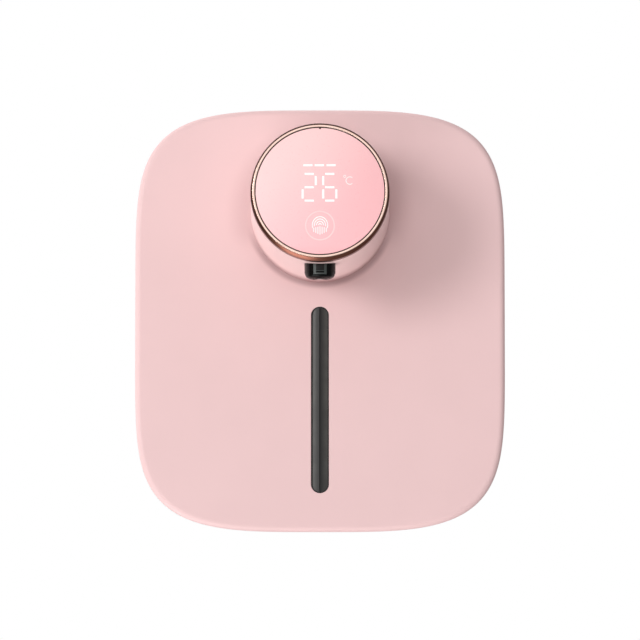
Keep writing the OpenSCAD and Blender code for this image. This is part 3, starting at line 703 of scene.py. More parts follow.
class Blank:
    """A mesh under construction, in millimetres."""

    def __init__(self) -> None:
        """Starts empty."""
        self.mesh = bmesh.new()

    def turn(
        self,
        profile: Sequence[Pair],
        centre: Triple,
        along: Triple = (0.0, -1.0, 0.0),
        steps: int = 128,
        angle: float = FULL_TURN,
        start: float = 0.0,
        closed: bool = True,
    ) -> "Blank":
        """Spins a profile about an axis.

        Args:
            profile: Points as (radius, distance along the axis).
            centre: A point on the axis, where the distance is 0.
            along: Direction of the axis, +Z or -Y or a level one.
            steps: Number of steps round.
            angle: Angle swept.
            start: Angle at which the sweep starts.
            closed: Whether the profile's last point joins its first.

        Returns:
            This blank.
        """
        axis = Vector(along).normalized()
        middle = Vector(centre)
        side = Vector((1.0, 0.0, 0.0)) if abs(axis.x) < 0.9 else Vector((0.0, 0.0, 1.0))
        side = Matrix.Rotation(start, 3, axis) @ side
        verts = [self.mesh.verts.new(middle + side * r + axis * d) for r, d in profile]
        pairs = list(zip(verts, verts[1:])) + ([(verts[-1], verts[0])] if closed else [])
        edges = [self.mesh.edges.new(pair) for pair in pairs]
        whole = abs(angle - FULL_TURN) < 1e-6
        if not whole:
            face = bmesh.ops.contextual_create(self.mesh, geom=verts + edges)["faces"]
            swept: list = verts + edges + face
        else:
            swept = verts + edges
        bmesh.ops.spin(
            self.mesh, geom=swept, cent=middle, axis=axis, angle=angle, steps=steps,
            use_merge=whole, use_duplicate=False,
        )
        bmesh.ops.remove_doubles(self.mesh, verts=self.mesh.verts, dist=1e-4)
        bmesh.ops.recalc_face_normals(self.mesh, faces=self.mesh.faces)
        return self

    def block(
        self,
        low: Triple,
        high: Triple,
        place: Matrix | None = None,
        round_by: float = 0.0,
        segments: int = 3,
    ) -> "Blank":
        """Adds a box with rounded edges.

        Args:
            low: Lowest corner.
            high: Highest corner.
            place: Transform of the box's own axes.
            round_by: Radius of its edges.
            segments: Steps of that rounding.

        Returns:
            This blank.
        """
        size = Vector(high) - Vector(low)
        middle = (Vector(high) + Vector(low)) / 2
        fit = Matrix.Translation(middle) @ Matrix.Diagonal((*size, 1.0))
        made = bmesh.ops.create_cube(self.mesh, size=1.0, matrix=fit)["verts"]
        edges = list({edge for vert in made for edge in vert.link_edges})
        if round_by:
            made = bevelled(self.mesh, edges, round_by, segments)
        if place is not None:
            bmesh.ops.transform(self.mesh, matrix=place, verts=made)
        return self

    def rod(
        self, radius: float, start: Triple, end: Triple, steps: int = 48, end_radius: float = -1.0
    ) -> "Blank":
        """Adds a round rod or cone between two points.

        Args:
            radius: Radius at the start.
            start: Centre of one end.
            end: Centre of the other end.
            steps: Number of sides.
            end_radius: Radius at the end, or the same if negative.

        Returns:
            This blank.
        """
        first, last = Vector(start), Vector(end)
        turn = Vector((0.0, 0.0, 1.0)).rotation_difference(last - first).to_matrix().to_4x4()
        bmesh.ops.create_cone(
            self.mesh, cap_ends=True, cap_tris=False, segments=steps, radius1=radius,
            radius2=radius if end_radius < 0 else end_radius, depth=(last - first).length,
            matrix=Matrix.Translation((first + last) / 2) @ turn,
        )
        return self

    def stadium(
        self, low_z: float, high_z: float, stations: Sequence[Pair], steps: int = 64
    ) -> "Blank":
        """Adds an upright slot-shaped body on the middle plane.

        Args:
            low_z: Height of the lower round end's centre.
            high_z: Height of the upper round end's centre.
            stations: (depth, radius) from back to front or front to back.
            steps: Number of points round.

        Returns:
            This blank.
        """
        depth, radius = stations[0]
        ring = bmesh.ops.create_circle(
            self.mesh, cap_ends=True, segments=steps, radius=radius,
            matrix=Matrix.Translation((0.0, depth, 0.0)) @ Matrix.Rotation(math.pi / 2, 4, "X"),
        )["verts"]
        for vert in ring:
            vert.co.z += high_z if vert.co.z > 0 else low_z
        edges = list({edge for vert in ring for edge in vert.link_edges})
        middle = (low_z + high_z) / 2
        for (y0, r0), (y1, r1) in zip(stations, stations[1:]):
            verts, edges = self._drawn_on(edges)
            bmesh.ops.translate(self.mesh, vec=(0.0, y1 - y0, 0.0), verts=verts)
            for keep_upper, end_z in ((True, high_z), (False, low_z)):
                half = [vert for vert in verts if (vert.co.z > middle) == keep_upper]
                bmesh.ops.scale(
                    self.mesh, vec=(r1 / r0, 1.0, r1 / r0), verts=half,
                    space=Matrix.Translation((0.0, 0.0, -end_z)),
                )
        bmesh.ops.contextual_create(self.mesh, geom=edges)
        bmesh.ops.recalc_face_normals(self.mesh, faces=self.mesh.faces)
        return self

    def _drawn_on(
        self, edges: list[bmesh.types.BMEdge]
    ) -> tuple[list[bmesh.types.BMVert], list[bmesh.types.BMEdge]]:
        """Extrudes a ring of edges and returns the new ring's points and edges."""
        grown = bmesh.ops.extrude_edge_only(self.mesh, edges=edges)["geom"]
        verts = [item for item in grown if isinstance(item, bmesh.types.BMVert)]
        fresh = set(verts)
        ring = [
            item for item in grown
            if isinstance(item, bmesh.types.BMEdge) and fresh.issuperset(item.verts)
        ]
        return verts, ring

    def outline_loft(self, outline: "Outline", stations: Sequence[Pair], steps: int = 256) -> "Blank":
        """Adds a closed body of the casing's outline.

        Args:
            outline: The casing's outline.
            stations: (depth, inset) of each ring, in order along the surface.
            steps: Number of points round.

        Returns:
            This blank.
        """
        y0, inset = stations[0]
        ring = bmesh.ops.create_circle(self.mesh, cap_ends=True, segments=steps, radius=1.0)["verts"]
        edges = list({edge for vert in ring for edge in vert.link_edges})
        for vert in ring:
            x, z = outline.point(math.atan2(vert.co.y, vert.co.x), inset)
            vert.co = (x, y0, z)
        for y1, next_inset in stations[1:]:
            verts, edges = self._drawn_on(edges)
            bmesh.ops.translate(self.mesh, vec=(0.0, y1 - y0, 0.0), verts=verts)
            wide, high = outline.half_sizes(inset)
            next_wide, next_high = outline.half_sizes(next_inset)
            bmesh.ops.scale(
                self.mesh, vec=(next_wide / wide, 1.0, next_high / high), verts=verts
            )
            y0, inset = y1, next_inset
        bmesh.ops.contextual_create(self.mesh, geom=edges)
        bmesh.ops.recalc_face_normals(self.mesh, faces=self.mesh.faces)
        return self

    def piece(self, name: str, sharp: float = 30.0) -> bpy.types.Object:
        """Makes the blank an object in metres.

        Args:
            name: Name of the object.
            sharp: Angle in degrees past which an edge stays sharp.

        Returns:
            The object.
        """
        bmesh.ops.scale(self.mesh, vec=(MM, MM, MM), verts=self.mesh.verts)
        data = bpy.data.meshes.new(name)
        self.mesh.to_mesh(data)
        self.mesh.free()
        data.shade_smooth()
        data.set_sharp_from_angle(angle=math.radians(sharp))
        made = bpy.data.objects.new(name, data)
        bpy.context.scene.collection.objects.link(made)
        return made


def bevelled(
    mesh: bmesh.types.BMesh, edges: list[bmesh.types.BMEdge], width: float, segments: int
) -> list[bmesh.types.BMVert]:
    """Rounds edges of a mesh and returns the points of the rounded body.

    Args:
        mesh: The mesh.
        edges: Its edges to round.
        width: Width of the rounding.
        segments: Steps of the rounding.

    Returns:
        Every point of the faces that the rounding touches.
    """
    made = bmesh.ops.bevel(
        mesh, geom=edges, offset=width, offset_type="OFFSET", segments=segments,
        profile=0.5, affect="EDGES", material=-1, clamp_overlap=True,
    )
    touched = {vert for face in made["faces"] for vert in face.verts}
    linked = {vert for point in touched for face in point.link_faces for vert in face.verts}
    return list(touched | linked)


def settled(piece: bpy.types.Object, sharp: float = 30.0) -> bpy.types.Object:
    """Applies a piece's modifiers to its mesh.

    Args:
        piece: The object.
        sharp: Angle in degrees past which an edge stays sharp.

    Returns:
        The same object, with no modifiers.
    """
    graph = bpy.context.evaluated_depsgraph_get()
    data = bpy.data.meshes.new_from_object(piece.evaluated_get(graph))
    piece.modifiers.clear()
    piece.data = data
    data.name = piece.name
    data.shade_smooth()
    data.set_sharp_from_angle(angle=math.radians(sharp))
    return piece


def act_on(
    piece: bpy.types.Object, tool: Blank, how: Cut, sharp: float = 30.0
) -> bpy.types.Object:
    """Cuts a piece with a solid, or joins the solid to it.

    Args:
        piece: The object.
        tool: The solid.
        how: What the solid does.
        sharp: Angle in degrees past which an edge stays sharp.

    Returns:
        The same object.
    """
    solid = tool.piece("tool_" + piece.name)
    modifier = piece.modifiers.new(how.name, "BOOLEAN")
    modifier.operation = how.value
    modifier.solver = "EXACT"
    modifier.use_self = how is Cut.JOIN or how is Cut.REMOVE
    modifier.object = solid
    settled(piece, sharp)
    bpy.data.objects.remove(solid)
    return piece


def even_shading(piece: bpy.types.Object) -> bpy.types.Object:
    """Lets the large faces of a piece lead its shading."""
    modifier = piece.modifiers.new("face_weight", "WEIGHTED_NORMAL")
    modifier.keep_sharp = True
    modifier.weight = 60
    return piece


def softened_copy(
    node: str, name: str, width: float, segments: int = 2, sharp: float = 35.0
) -> bpy.types.Object:
    """Copies a CAD node and rounds its edges.

    Args:
        node: Name of the CAD node.
        name: Name of the copy.
        width: Width of the rounding, in millimetres.
        segments: Steps of the rounding.
        sharp: Angle in degrees past which an edge is rounded.

    Returns:
        The copy.
    """
    blank = Blank()
    mesh = blank.mesh
    mesh.from_mesh(frame["nodes"][node].data)
    bmesh.ops.scale(mesh, vec=(1 / MM, 1 / MM, 1 / MM), verts=mesh.verts)
    bmesh.ops.remove_doubles(mesh, verts=mesh.verts, dist=2e-3)
    bmesh.ops.dissolve_degenerate(mesh, dist=1e-3, edges=mesh.edges)
    bmesh.ops.dissolve_limit(
        mesh, angle_limit=math.radians(1.0), verts=mesh.verts, edges=mesh.edges
    )
    bmesh.ops.recalc_face_normals(mesh, faces=mesh.faces)
    limit = math.radians(sharp)
    edges = [edge for edge in mesh.edges if edge.is_manifold and edge.calc_face_angle() > limit]
    bevelled(mesh, edges, width, segments)
    return blank.piece(name, 40.0)


def place(
    piece: bpy.types.Object,
    finish: Finish,
    body: Body,
    slot: str,
    nodes: Iterable[str] = (),
) -> bpy.types.Object:
    """Dresses a piece and sets it on its body.

    Args:
        piece: The object.
        finish: Its finish.
        body: The body that it moves with.
        slot: The record's material slot; not used.
        nodes: CAD nodes that it stands for.

    Returns:
        The same object.
    """
    piece.data.materials.clear()
    piece.data.materials.append(finish.material())
    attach(piece, body.value)
    names = tuple(nodes)
    if names:
        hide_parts(*names)
    LOG.info("%s: %d faces on %s", piece.name, len(piece.data.polygons), body.value)
    return piece


def rounded(profile: Sequence[tuple[float, float, float]], segments: int = 5) -> list[Pair]:
    """Rounds the corners of a profile.

    Args:
        profile: Points as (radius, distance, corner radius).
        segments: Steps of each rounding.

    Returns:
        The profile's points.
    """
    points: list[Pair] = []
    count = len(profile)
    for number, (r, d, corner) in enumerate(profile):
        if corner <= 0:
            points.append((r, d))
            continue
        here = Vector((r, d))
        before = (Vector(profile[number - 1][:2]) - here).normalized()
        after = (Vector(profile[(number + 1) % count][:2]) - here).normalized()
        half = before.angle(after) / 2
        reach = corner / math.tan(half)
        first, last = here + before * reach, here + after * reach
        for step in range(segments + 1):
            share = step / segments
            control = first.lerp(here, share).lerp(here.lerp(last, share), share)
            points.append((control.x, control.y))
    return points


# ---- Sub-assemblies ----


@dataclass
class Outline:
    """Rounded-square outline of the casing, drawn in towards the wall."""

    width: float = 112.0
    height: float = 128.6
    depth: float = 43.0
    side_power: float = 3.7
    end_power: float = 5.44
    draft: float = math.radians(7.5)
    edge_radius: float = 1.6

    @property
    def front_y(self) -> float:
        """Depth of the front face."""
        return -self.depth

    def half_sizes(self, inset: float) -> Pair:
        """Half width and half height, drawn in by an inset."""
        return self.width / 2 - inset, self.height / 2 - inset

    def point(self, angle: float, inset: float) -> Pair:
        """Point of the outline at an angle, drawn in by an inset."""
        wide, high = self.half_sizes(inset)
        across, up = math.cos(angle), math.sin(angle)
        return (
            math.copysign(wide * abs(across) ** (2 / self.side_power), across),
            math.copysign(high * abs(up) ** (2 / self.end_power), up),
        )

    def inset_at(self, y: float) -> float:
        """Inset of the side wall at a depth behind the rounded front edge."""
        edge_end = self.front_y + self.edge_radius * (1 + math.sin(self.draft))
        return self.edge_radius * (1 - math.cos(self.draft)) + (y - edge_end) * math.tan(self.draft)

    def front_edge(self, steps: int = 9) -> list[Pair]:
        """Stations of the rounded front edge, from the face to the side wall."""
        sweep = math.pi / 2 + self.draft
        angles = [-math.pi / 2 + sweep * step / steps for step in range(steps + 1)]
        return [
            (self.front_y + self.edge_radius * (1 + math.sin(a)),
             self.edge_radius * (1 - math.cos(a)))
            for a in angles
        ]


@dataclass
class ChargingPort:
    """Recessed charging inlet on the right side wall, with its flap."""

    y: float = -22.0
    z: float = 14.0
    recess_x: float = -1.6
    half_length: float = 8.0
    flap_axis: Pair = (-0.9, 4.0)
    outline: Outline = None

    def matrix(self) -> Matrix:
        """Transform from the side wall's own axes to the frame."""
        side_x = self.outline.width / 2 - self.outline.inset_at(self.y)
        turn = Matrix.Rotation(self.outline.draft, 4, "Z")
        return Matrix.Translation((side_x, self.y, self.z)) @ turn

    def backing(self) -> Blank:
        """Thicker wall that holds the trunnions of the flap."""
        return Blank().block((-3.4, -10.0, -6.5), (-1.0, 10.0, 7.5), self.matrix())

    def recess(self) -> Blank:
        """Recess for the flap."""
        low = (self.recess_x, -self.half_length, -4.5)
        high = (3.0, self.half_length, 5.3)
        return Blank().block(low, high, self.matrix(), 0.7)

    def inlet(self) -> Blank:
        """Slot for the plug."""
        return Blank().block((-8.0, -4.8, -1.7), (1.0, 4.8, 1.7), self.matrix(), 1.65, 6)

    def build(self) -> None:
        """Makes the flap."""
        flap = softened_copy("port_plug", "port_flap_cover", 0.25)
        place(flap, BLUSH_RUBBER, Body.FLAP, "blush_rubber", ["port_plug"])


@dataclass
class Casing:
    """Front shell and rear cover."""

    outline: Outline
    port: ChargingPort
    wall: float = 2.2
    rim_y: float = -1.0
    window_low: float = -49.9
    window_high: float = 1.4
    window_radius: float = 2.7
    head_z: float = 32.6
    lid_half: float = 18.3
    hinge: Pair = (-8.6, 58.4956)

    def shell_stations(self) -> list[Pair]:
        """Rings of the shell from the middle of its face round to the inside."""
        outline = self.outline
        inner_y = outline.front_y + self.wall
        at = outline.inset_at
        face = [(outline.front_y, outline.edge_radius + 1.2),
                (outline.front_y, outline.edge_radius + 0.25)]
        middle = [(y, at(y)) for y in (-30.0, -18.0, -6.0)]
        rim = [(self.rim_y - 0.5, at(self.rim_y)), (self.rim_y - 0.15, at(self.rim_y) + 0.12),
               (self.rim_y, at(self.rim_y) + 0.45), (self.rim_y, at(self.rim_y) + self.wall)]
        inside = [(-18.0, at(-18.0) + self.wall), (inner_y + 1, at(inner_y + 1) + self.wall),
                  (inner_y + 0.3, at(inner_y) + self.wall + 0.3),
                  (inner_y, at(inner_y) + self.wall + 1)]
        return face + outline.front_edge() + middle + rim + inside

    def build_shell(self) -> None:
        """Makes the front shell with its openings and posts."""
        shell = Blank().outline_loft(self.outline, self.shell_stations()).piece("casing_shell")
        act_on(shell, self._additions(), Cut.JOIN)
        act_on(shell, self._openings(), Cut.REMOVE)
        act_on(shell, self.port.recess(), Cut.REMOVE)
        act_on(shell, self.port.inlet(), Cut.REMOVE)
        even_shading(shell)
        place(shell, SHELL, Body.DISPENSER, "blush_shell", ["front_shell"])

    def _additions(self) -> Blank:
        """Corner posts and the backing of the port."""
        added = self.port.backing()
        for x, z in ((-1, -1), (-1, 1), (1, -1), (1, 1)):
            added.rod(3.6, (x * 38.5, -4.0, z * 46.5), (x * 38.5, -12.0, z * 46.5))
        return added

    def _openings(self) -> Blank:
        """Window slot, head opening and lid opening."""
        y = self.outline.front_y
        tool = Blank().stadium(
            self.window_low, self.window_high,
            [(y + 4.0, self.window_radius), (y + 0.22, self.window_radius),
             (y + 0.06, self.window_radius + 0.06), (y, self.window_radius + 0.22),
             (y - 0.5, self.window_radius + 0.7)],
        )
        tool.rod(14.45, (0.0, y - 1.0, self.head_z), (0.0, y + 4.0, self.head_z), 96)
        tool.block((-self.lid_half, -29.3, 50.0), (self.lid_half, -6.2, 70.0))
        return tool

    def build_lugs(self) -> None:
        """Makes the two hinge lugs that carry the lid's pin."""
        y, z = self.hinge
        for name, side in (("hinge_lug_left", -1), ("hinge_lug_right", 1)):
            near, far = 13.3 * side, 17.2 * side
            low, high = min(near, far), max(near, far)
            lug = Blank().rod(1.6, (low, y, z), (high, y, z))
            lug.block((low, y, z - 1.6), (high, -5.0, z + 0.8), None, 0.15)
            place(lug.piece(name), BLUSH, Body.DISPENSER, "blush_shell")

    def build_cover(self) -> None:
        """Makes the rear cover."""
        cover = softened_copy("rear_cover", "rear_cover_panel", 0.2)
        place(cover, BLUSH, Body.DISPENSER, "blush_shell", ["rear_cover"])

    def build(self) -> None:
        """Makes the casing's pieces."""
        self.build_shell()
        self.build_lugs()
        self.build_cover()


@dataclass
class Head:
    """Round head: tube, bezel ring and display lens."""

    centre: Triple = (0.0, 0.0, 32.6)
    panel: float = 43.0
    base_radius: float = 21.0
    front_radius: float = 20.6
    tube_end: float = 89.5
    end: float = 93.0
    lens_radius: float = 19.1
    ring_inner: float = 19.44
    land: float = 0.62
    nozzle_y: float = -81.4
    nozzle_radius: float = 4.74
    lean: float = 0.013

    def leaned(self, blank: Blank) -> Blank:
        """Draws the face up towards its top, so that the ring is wider at its foot."""
        edge = self.ring_inner + self.land
        top = self.centre[2] + edge
        for vert in blank.mesh.verts:
            away = math.hypot(vert.co.x, vert.co.z - self.centre[2])
            share = min(1.0, max(0.0, (self.front_radius - away) / (self.front_radius - edge - 0.17)))
            vert.co.z = top + (vert.co.z - top) * (1 - self.lean * share)
        return blank

    def build_tube(self) -> None:
        """Makes the tapered tube with the nozzle opening in its underside."""
        profile = rounded([
            (13.0, self.panel - 3, 0), (14.3, self.panel - 3, 0), (14.3, self.panel, 0),
            (self.base_radius, self.panel, 0.12), (self.front_radius, self.tube_end, 0.25),
            (18.4, self.tube_end, 0), (18.4, self.panel + 8, 0), (13.0, self.panel + 8, 0),
        ])
        tube = Blank().turn(profile, self.centre, steps=192).piece("head_barrel")
        hole = Blank().rod(
            self.nozzle_radius, (0.0, self.nozzle_y, 8.0), (0.0, self.nozzle_y, 22.0), 64
        )
        act_on(tube, hole, Cut.REMOVE)
        even_shading(tube)
        place(tube, BLUSH_SATIN, Body.DISPENSER, "blush_shell", ["head_tube"])

    def build_ring(self) -> None:
        """Makes the bezel: a bright plated land in a side of the same rose gold painted darker as a
        dark reflection.
        """
        end, inner, outer = self.end, self.ring_inner, self.front_radius + 0.12
        edge = inner + self.land
        land = rounded([
            (inner, end - 2.0, 0), (inner, end - 0.06, 0.07), (edge, end - 0.06, 0.1),
            (edge, end - 2.0, 0),
        ])
        trim = self.leaned(Blank().turn(land, self.centre, steps=192)).piece("bezel_trim", 50.0)
        place(trim, ROSE_GOLD, Body.DISPENSER, "rose_gold", ["bezel_ring"])
        side = rounded([
            (17.3, self.tube_end - 2, 0), (17.3, end - 2.4, 0), (inner, end - 2.4, 0),
            (inner, end - 2.01, 0), (edge + 0.01, end - 2.01, 0), (edge + 0.01, end - 0.2, 0.04),
            (edge + 0.16, end - 0.2, 0.08), (outer - 0.12, end - 1.15, 0.45),
            (outer, self.tube_end + 1.1, 0.5), (outer, self.tube_end + 0.06, 0.05),
            (18.3, self.tube_end + 0.06, 0), (18.3, self.tube_end - 2, 0),
        ])
        body = self.leaned(Blank().turn(side, self.centre, steps=192)).piece("bezel_side", 50.0)
        # Painted dark reflection: the side takes the darker copy of the rose gold
        place(body, ROSE_GOLD_PAINTED_DARK, Body.DISPENSER, "rose_gold")

    def build_lens(self) -> None:
        """Makes the display lens and the dark ring round it that fills the gap as painted shade."""
        end, radius = self.end, self.lens_radius
        profile = rounded([
            (0.0, end - 2.3, 0), (radius, end - 2.3, 0), (radius, end - 0.1, 0.1),
            (0.0, end - 0.1, 0),
        ], 3)
        lens = self.leaned(Blank().turn(profile, self.centre, steps=192, closed=False))
        lens = lens.piece("lens_disc")
        place(lens, LENS, Body.DISPENSER, "blush_lens", ["display_lens"])
        low, high = radius + 0.01, self.ring_inner - 0.01
        edge = [(low, end - 2.2), (high, end - 2.2), (high, end - 0.22), (low, end - 0.22)]
        # Painted shade: a dark ring fills the gap between lens and bezel
        gap_shade_ring = Blank().turn(edge, self.centre, steps=192)
        key_z = self.centre[2] + radius
        gap_shade_ring.block((-0.32, -end + 0.08, key_z - 0.4), (0.32, -end + 1.0, key_z + 0.2), None, 0.1)
        gap_shade_ring = self.leaned(gap_shade_ring)
        place(gap_shade_ring.piece("lens_gap_painted_shade"), GAP, Body.DISPENSER, "black_plastic")

    def build(self) -> None:
        """Makes the head's pieces."""
        self.build_tube()
        self.build_ring()
        self.build_lens()


@dataclass
class Display:
    """Lit temperature figures, dashes, unit sign and touch area on the lens."""

    head_z: float = 32.6
    face_y: float = -92.9
    proud: float = 0.03
    stroke: float = 0.62
    bar: float = 2.75
    digit_w: float = 3.9
    digit_h: float = 4.0
    digits: tuple[Pair, ...] = ((-3.2, 1.35), (2.9, 1.35))
    dashes: tuple[Pair, ...] = ((-3.6, 7.95), (-0.2, 7.95), (3.3, 7.95))
    degree: Pair = (7.35, 4.6)
    unit: Pair = (8.85, 3.35)
    touch: Pair = (0.0, -10.1)

    # Lit bars of each figure: level bars by row, then upright bars by side and row
    LEVEL_ROWS = ((1, 0, -1), (1, 0, -1))
    UPRIGHTS = (((1, 1), (-1, -1)), ((-1, 1), (-1, -1), (1, -1)))

    def _bar(self, blank: Blank, x: float, z: float, upright: bool) -> None:
        """Adds one bar with softly rounded ends."""
        long, thin = self.bar / 2, self.stroke / 2
        half = (thin, long) if upright else (long, thin)
        low = (x - half[0], self.face_y - self.proud, self.head_z + z - half[1])
        high = (x + half[0], self.face_y + 0.2, self.head_z + z + half[1])
        blank.block(low, high)

    def _arc(
        self, blank: Blank, centre: Pair, radius: float, line: float, start: float = 0.0,
        sweep: float = 360.0, proud: float = 0.0, tall: float = 1.0,
    ) -> None:
        """Adds a flat arc.

        Args:
            blank: Where it goes.
            centre: Its centre on the display, from the head's axis.
            radius: Middle radius.
            line: Width of the line.
            start: Angle of its start, in degrees from +X.
            sweep: Angle that it covers, in degrees.
            proud: Height over the lens, or the common one if 0.
            tall: Stretch along the height.
        """
        lift = proud or self.proud
        middle = (centre[0], self.face_y, self.head_z + centre[1])
        known = set(blank.mesh.verts)
        blank.turn(
            [(radius - line / 2, -0.2), (radius + line / 2, -0.2), (radius + line / 2, lift),
             (radius - line / 2, lift)],
            middle, steps=max(8, round(48 * sweep / 360)), angle=math.radians(sweep),
            start=math.radians(start),
        )
        fresh = [vert for vert in blank.mesh.verts if vert not in known]
        bmesh.ops.scale(
            blank.mesh, vec=(1.0, 1.0, tall), verts=fresh,
            space=Matrix.Translation((-middle[0], -middle[1], -middle[2])),
        )

    def build_figures(self) -> None:
        """Makes the figures, the dashes and the unit sign."""
        blank = Blank()
        for (x, z), rows, uprights in zip(self.digits, self.LEVEL_ROWS, self.UPRIGHTS):
            for row in rows:
                self._bar(blank, x, z + row * self.digit_h, False)
            for side, row in uprights:
                self._bar(blank, x + side * self.digit_w / 2, z + row * self.digit_h / 2, True)
        for x, z in self.dashes:
            self._bar(blank, x, z, False)
        place(blank.piece("lit_figures"), DIGITS, Body.DISPENSER, "led_diffuser")
        sign = Blank()
        self._arc(sign, self.degree, 0.34, 0.2)
        self._arc(sign, self.unit, 1.12, 0.3, 48, 264)
        place(sign.piece("lit_unit"), ICON, Body.DISPENSER, "led_diffuser")

    def build_touch(self) -> None:
        """Makes the touch area: a faint ring round a mark of nested arches."""
        ring = Blank()
        self._arc(ring, self.touch, 4.25, 0.42, proud=0.015)
        place(ring.piece("touch_ring"), FAINT_PRINT, Body.DISPENSER, "led_diffuser")
        mark = Blank()
        x, z = self.touch
        for step in range(4):
            radius = 0.42 + 0.62 * step
            start, sweep = 8 - 9 * step, 164 + 18 * step
            self._arc(mark, (x, z + 0.1), radius, 0.27, start, sweep, tall=1.12)
        for step in range(-3, 4):
            foot = 2.75 - 0.28 * abs(step)
            top = z - 0.15 - 0.16 * abs(step)
            low = (x + 0.62 * step - 0.13, self.face_y - self.proud, self.head_z + z - foot)
            high = (x + 0.62 * step + 0.13, self.face_y + 0.2, self.head_z + top)
            mark.block(low, high)
        place(mark.piece("touch_mark"), MARK_PRINT, Body.DISPENSER, "led_diffuser")

    def build(self) -> None:
        """Makes everything that is lit on the lens."""
        self.build_figures()
        self.build_touch()


@dataclass
class Nozzle:
    """Foam nozzle block under the head, with the hand sensor in its front."""

    y: float = -81.4
    spout_y: float = -79.6
    radius: float = 4.62
    bottom: float = 7.9
    top: float = 15.6
    frame_half: float = 2.0
    frame_bar: float = 0.75
    frame_low: float = 8.85

    def build_block(self) -> None:
        """Makes the round block with its outlet and the pocket of the sensor."""
        centre = (0.0, self.y, 0.0)
        profile = rounded([
            (0.0, self.bottom, 0), (3.0, self.bottom, 1.2), (4.15, self.bottom + 0.5, 1.0),
            (self.radius, self.bottom + 1.7, 1.0), (self.radius, self.top, 0),
            (0.0, self.top, 0),
        ], 8)
        block = Blank().turn(profile, centre, (0.0, 0.0, 1.0), 96, closed=False)
        block = block.piece("nozzle_block")
        outlet = Blank().rod(2.0, (0.0, self.spout_y, 6.0), (0.0, self.spout_y, 17.0))
        act_on(block, outlet, Cut.REMOVE)
        front = self.y - self.radius
        pocket = Blank().block(
            (-self.frame_half, front - 1.0, self.frame_low), (self.frame_half, front + 0.9, 13.5)
        )
        act_on(block, pocket, Cut.REMOVE)
        even_shading(block)
        place(block, NOZZLE_BLACK, Body.DISPENSER, "black_plastic", ["nozzle_shroud"])

    def build_sensor(self) -> None:
        """Makes the sensor's frame, ledge and dark window."""
        front = self.y - self.radius
        half, bar, low = self.frame_half - 0.02, self.frame_bar, self.frame_low + 0.02
        rail = Blank().block((-half, front - 1.0, low), (half, front + 0.8, 13.4))
        trim = rail.piece("sensor_trim")
        inside = Blank().block(
            (-half + bar, front - 2.0, low + 0.42), (half - bar, front + 2.0, 14.0)
        )
        act_on(trim, inside, Cut.REMOVE)
        around = Blank().rod(
            self.radius + 0.07, (0.0, self.y, 6.0), (0.0, self.y, 16.0), 96
        )
        act_on(trim, around, Cut.KEEP_COMMON)
        place(trim, FRAME_GREY, Body.DISPENSER, "black_plastic", ["sensor_window"])
        glass = Blank().block(
            (-half + bar + 0.02, front + 0.22, low + 0.95),
            (half - bar - 0.02, front + 0.8, 13.3), None, 0.06,
        )
        place(glass.piece("sensor_glass"), EYE, Body.DISPENSER, "smoked_window")
        ledge = Blank().block(
            (-half + bar + 0.02, front + 0.02, low + 0.92),
            (half - bar - 0.02, front + 0.7, low + 1.12), None, 0.05,
        )
        place(ledge.piece("sensor_ledge"), FRAME_GREY, Body.DISPENSER, "black_plastic")

    def build(self) -> None:
        """Makes the nozzle's pieces."""
        self.build_block()
        self.build_sensor()


@dataclass
class LevelWindow:
    """Smoked level window with a shallow ridge, in its black seal."""

    low: float = -49.9
    high: float = 1.4
    radius: float = 2.35
    seal_radius: float = 2.7
    edge_y: float = -42.35
    ridge_y: float = -42.86
    back_y: float = -40.8

    def build_window(self) -> None:
        """Makes the window: two shallow roof faces that meet in a fine groove."""
        front = self.ridge_y - 1.0
        window = Blank().stadium(
            self.low, self.high, [(self.back_y, self.radius), (front, self.radius)]
        ).piece("level_pane")
        act_on(window, self._roof(), Cut.KEEP_COMMON, 12.0)
        place(window, SMOKE, Body.DISPENSER, "smoked_window", ["level_window"])
        flange = Blank().stadium(
            self.low, self.high, [(self.back_y + 0.02, 4.1), (self.back_y + 0.8, 4.1)]
        )
        place(flange.piece("level_flange"), SMOKE, Body.DISPENSER, "smoked_window")

    def _roof(self) -> Blank:
        """Long prism whose front is the window's face."""
        blank = Blank()
        half, low = self.radius + 0.5, self.low - 5
        side = [(-half, self.edge_y), (-1.3, self.ridge_y + 0.14), (-0.24, self.ridge_y)]
        across = side + [(0.0, self.ridge_y + 0.2)] + [(-x, y) for x, y in reversed(side)]
        outline = across + [(half, self.back_y + 1.0), (-half, self.back_y + 1.0)]
        verts = [blank.mesh.verts.new((x, y, low)) for x, y in outline]
        face = bmesh.ops.contextual_create(blank.mesh, geom=verts)["faces"]
        grown = bmesh.ops.extrude_face_region(blank.mesh, geom=face, use_keep_orig=True)["geom"]
        moved = [item for item in grown if isinstance(item, bmesh.types.BMVert)]
        bmesh.ops.translate(blank.mesh, vec=(0.0, 0.0, self.high + 5 - low), verts=moved)
        bmesh.ops.recalc_face_normals(blank.mesh, faces=blank.mesh.faces)
        return blank

    def build_seal(self) -> None:
        """Makes the narrow seal round the window."""
        seal = Blank().stadium(
            self.low, self.high,
            [(self.back_y, self.seal_radius - 0.01), (-42.75, self.seal_radius - 0.01),
             (-42.82, self.seal_radius - 0.08)],
        ).piece("level_seal")
        hollow = Blank().stadium(
            self.low, self.high, [(-40.0, self.radius + 0.01), (-43.5, self.radius + 0.01)]
        )
        act_on(seal, hollow, Cut.REMOVE)
        place(seal, BLACK, Body.DISPENSER, "black_plastic", ["window_seal"])

    def build(self) -> None:
        """Makes the window's pieces."""
        self.build_window()
        self.build_seal()


@dataclass
class RefillLid:
    """Hinged lid over the filling opening in the top."""

    rounding: float = 0.3

    def build(self) -> None:
        """Makes the lid and the collar that it closes."""
        lid = softened_copy("refill_lid", "refill_cap", self.rounding, 3)
        place(lid, BLUSH, Body.LID, "blush_shell", ["refill_lid"])
        collar = softened_copy("fill_collar", "filling_collar", 0.3)
        place(collar, WHITE, Body.DISPENSER, "white_plastic", ["fill_collar"])


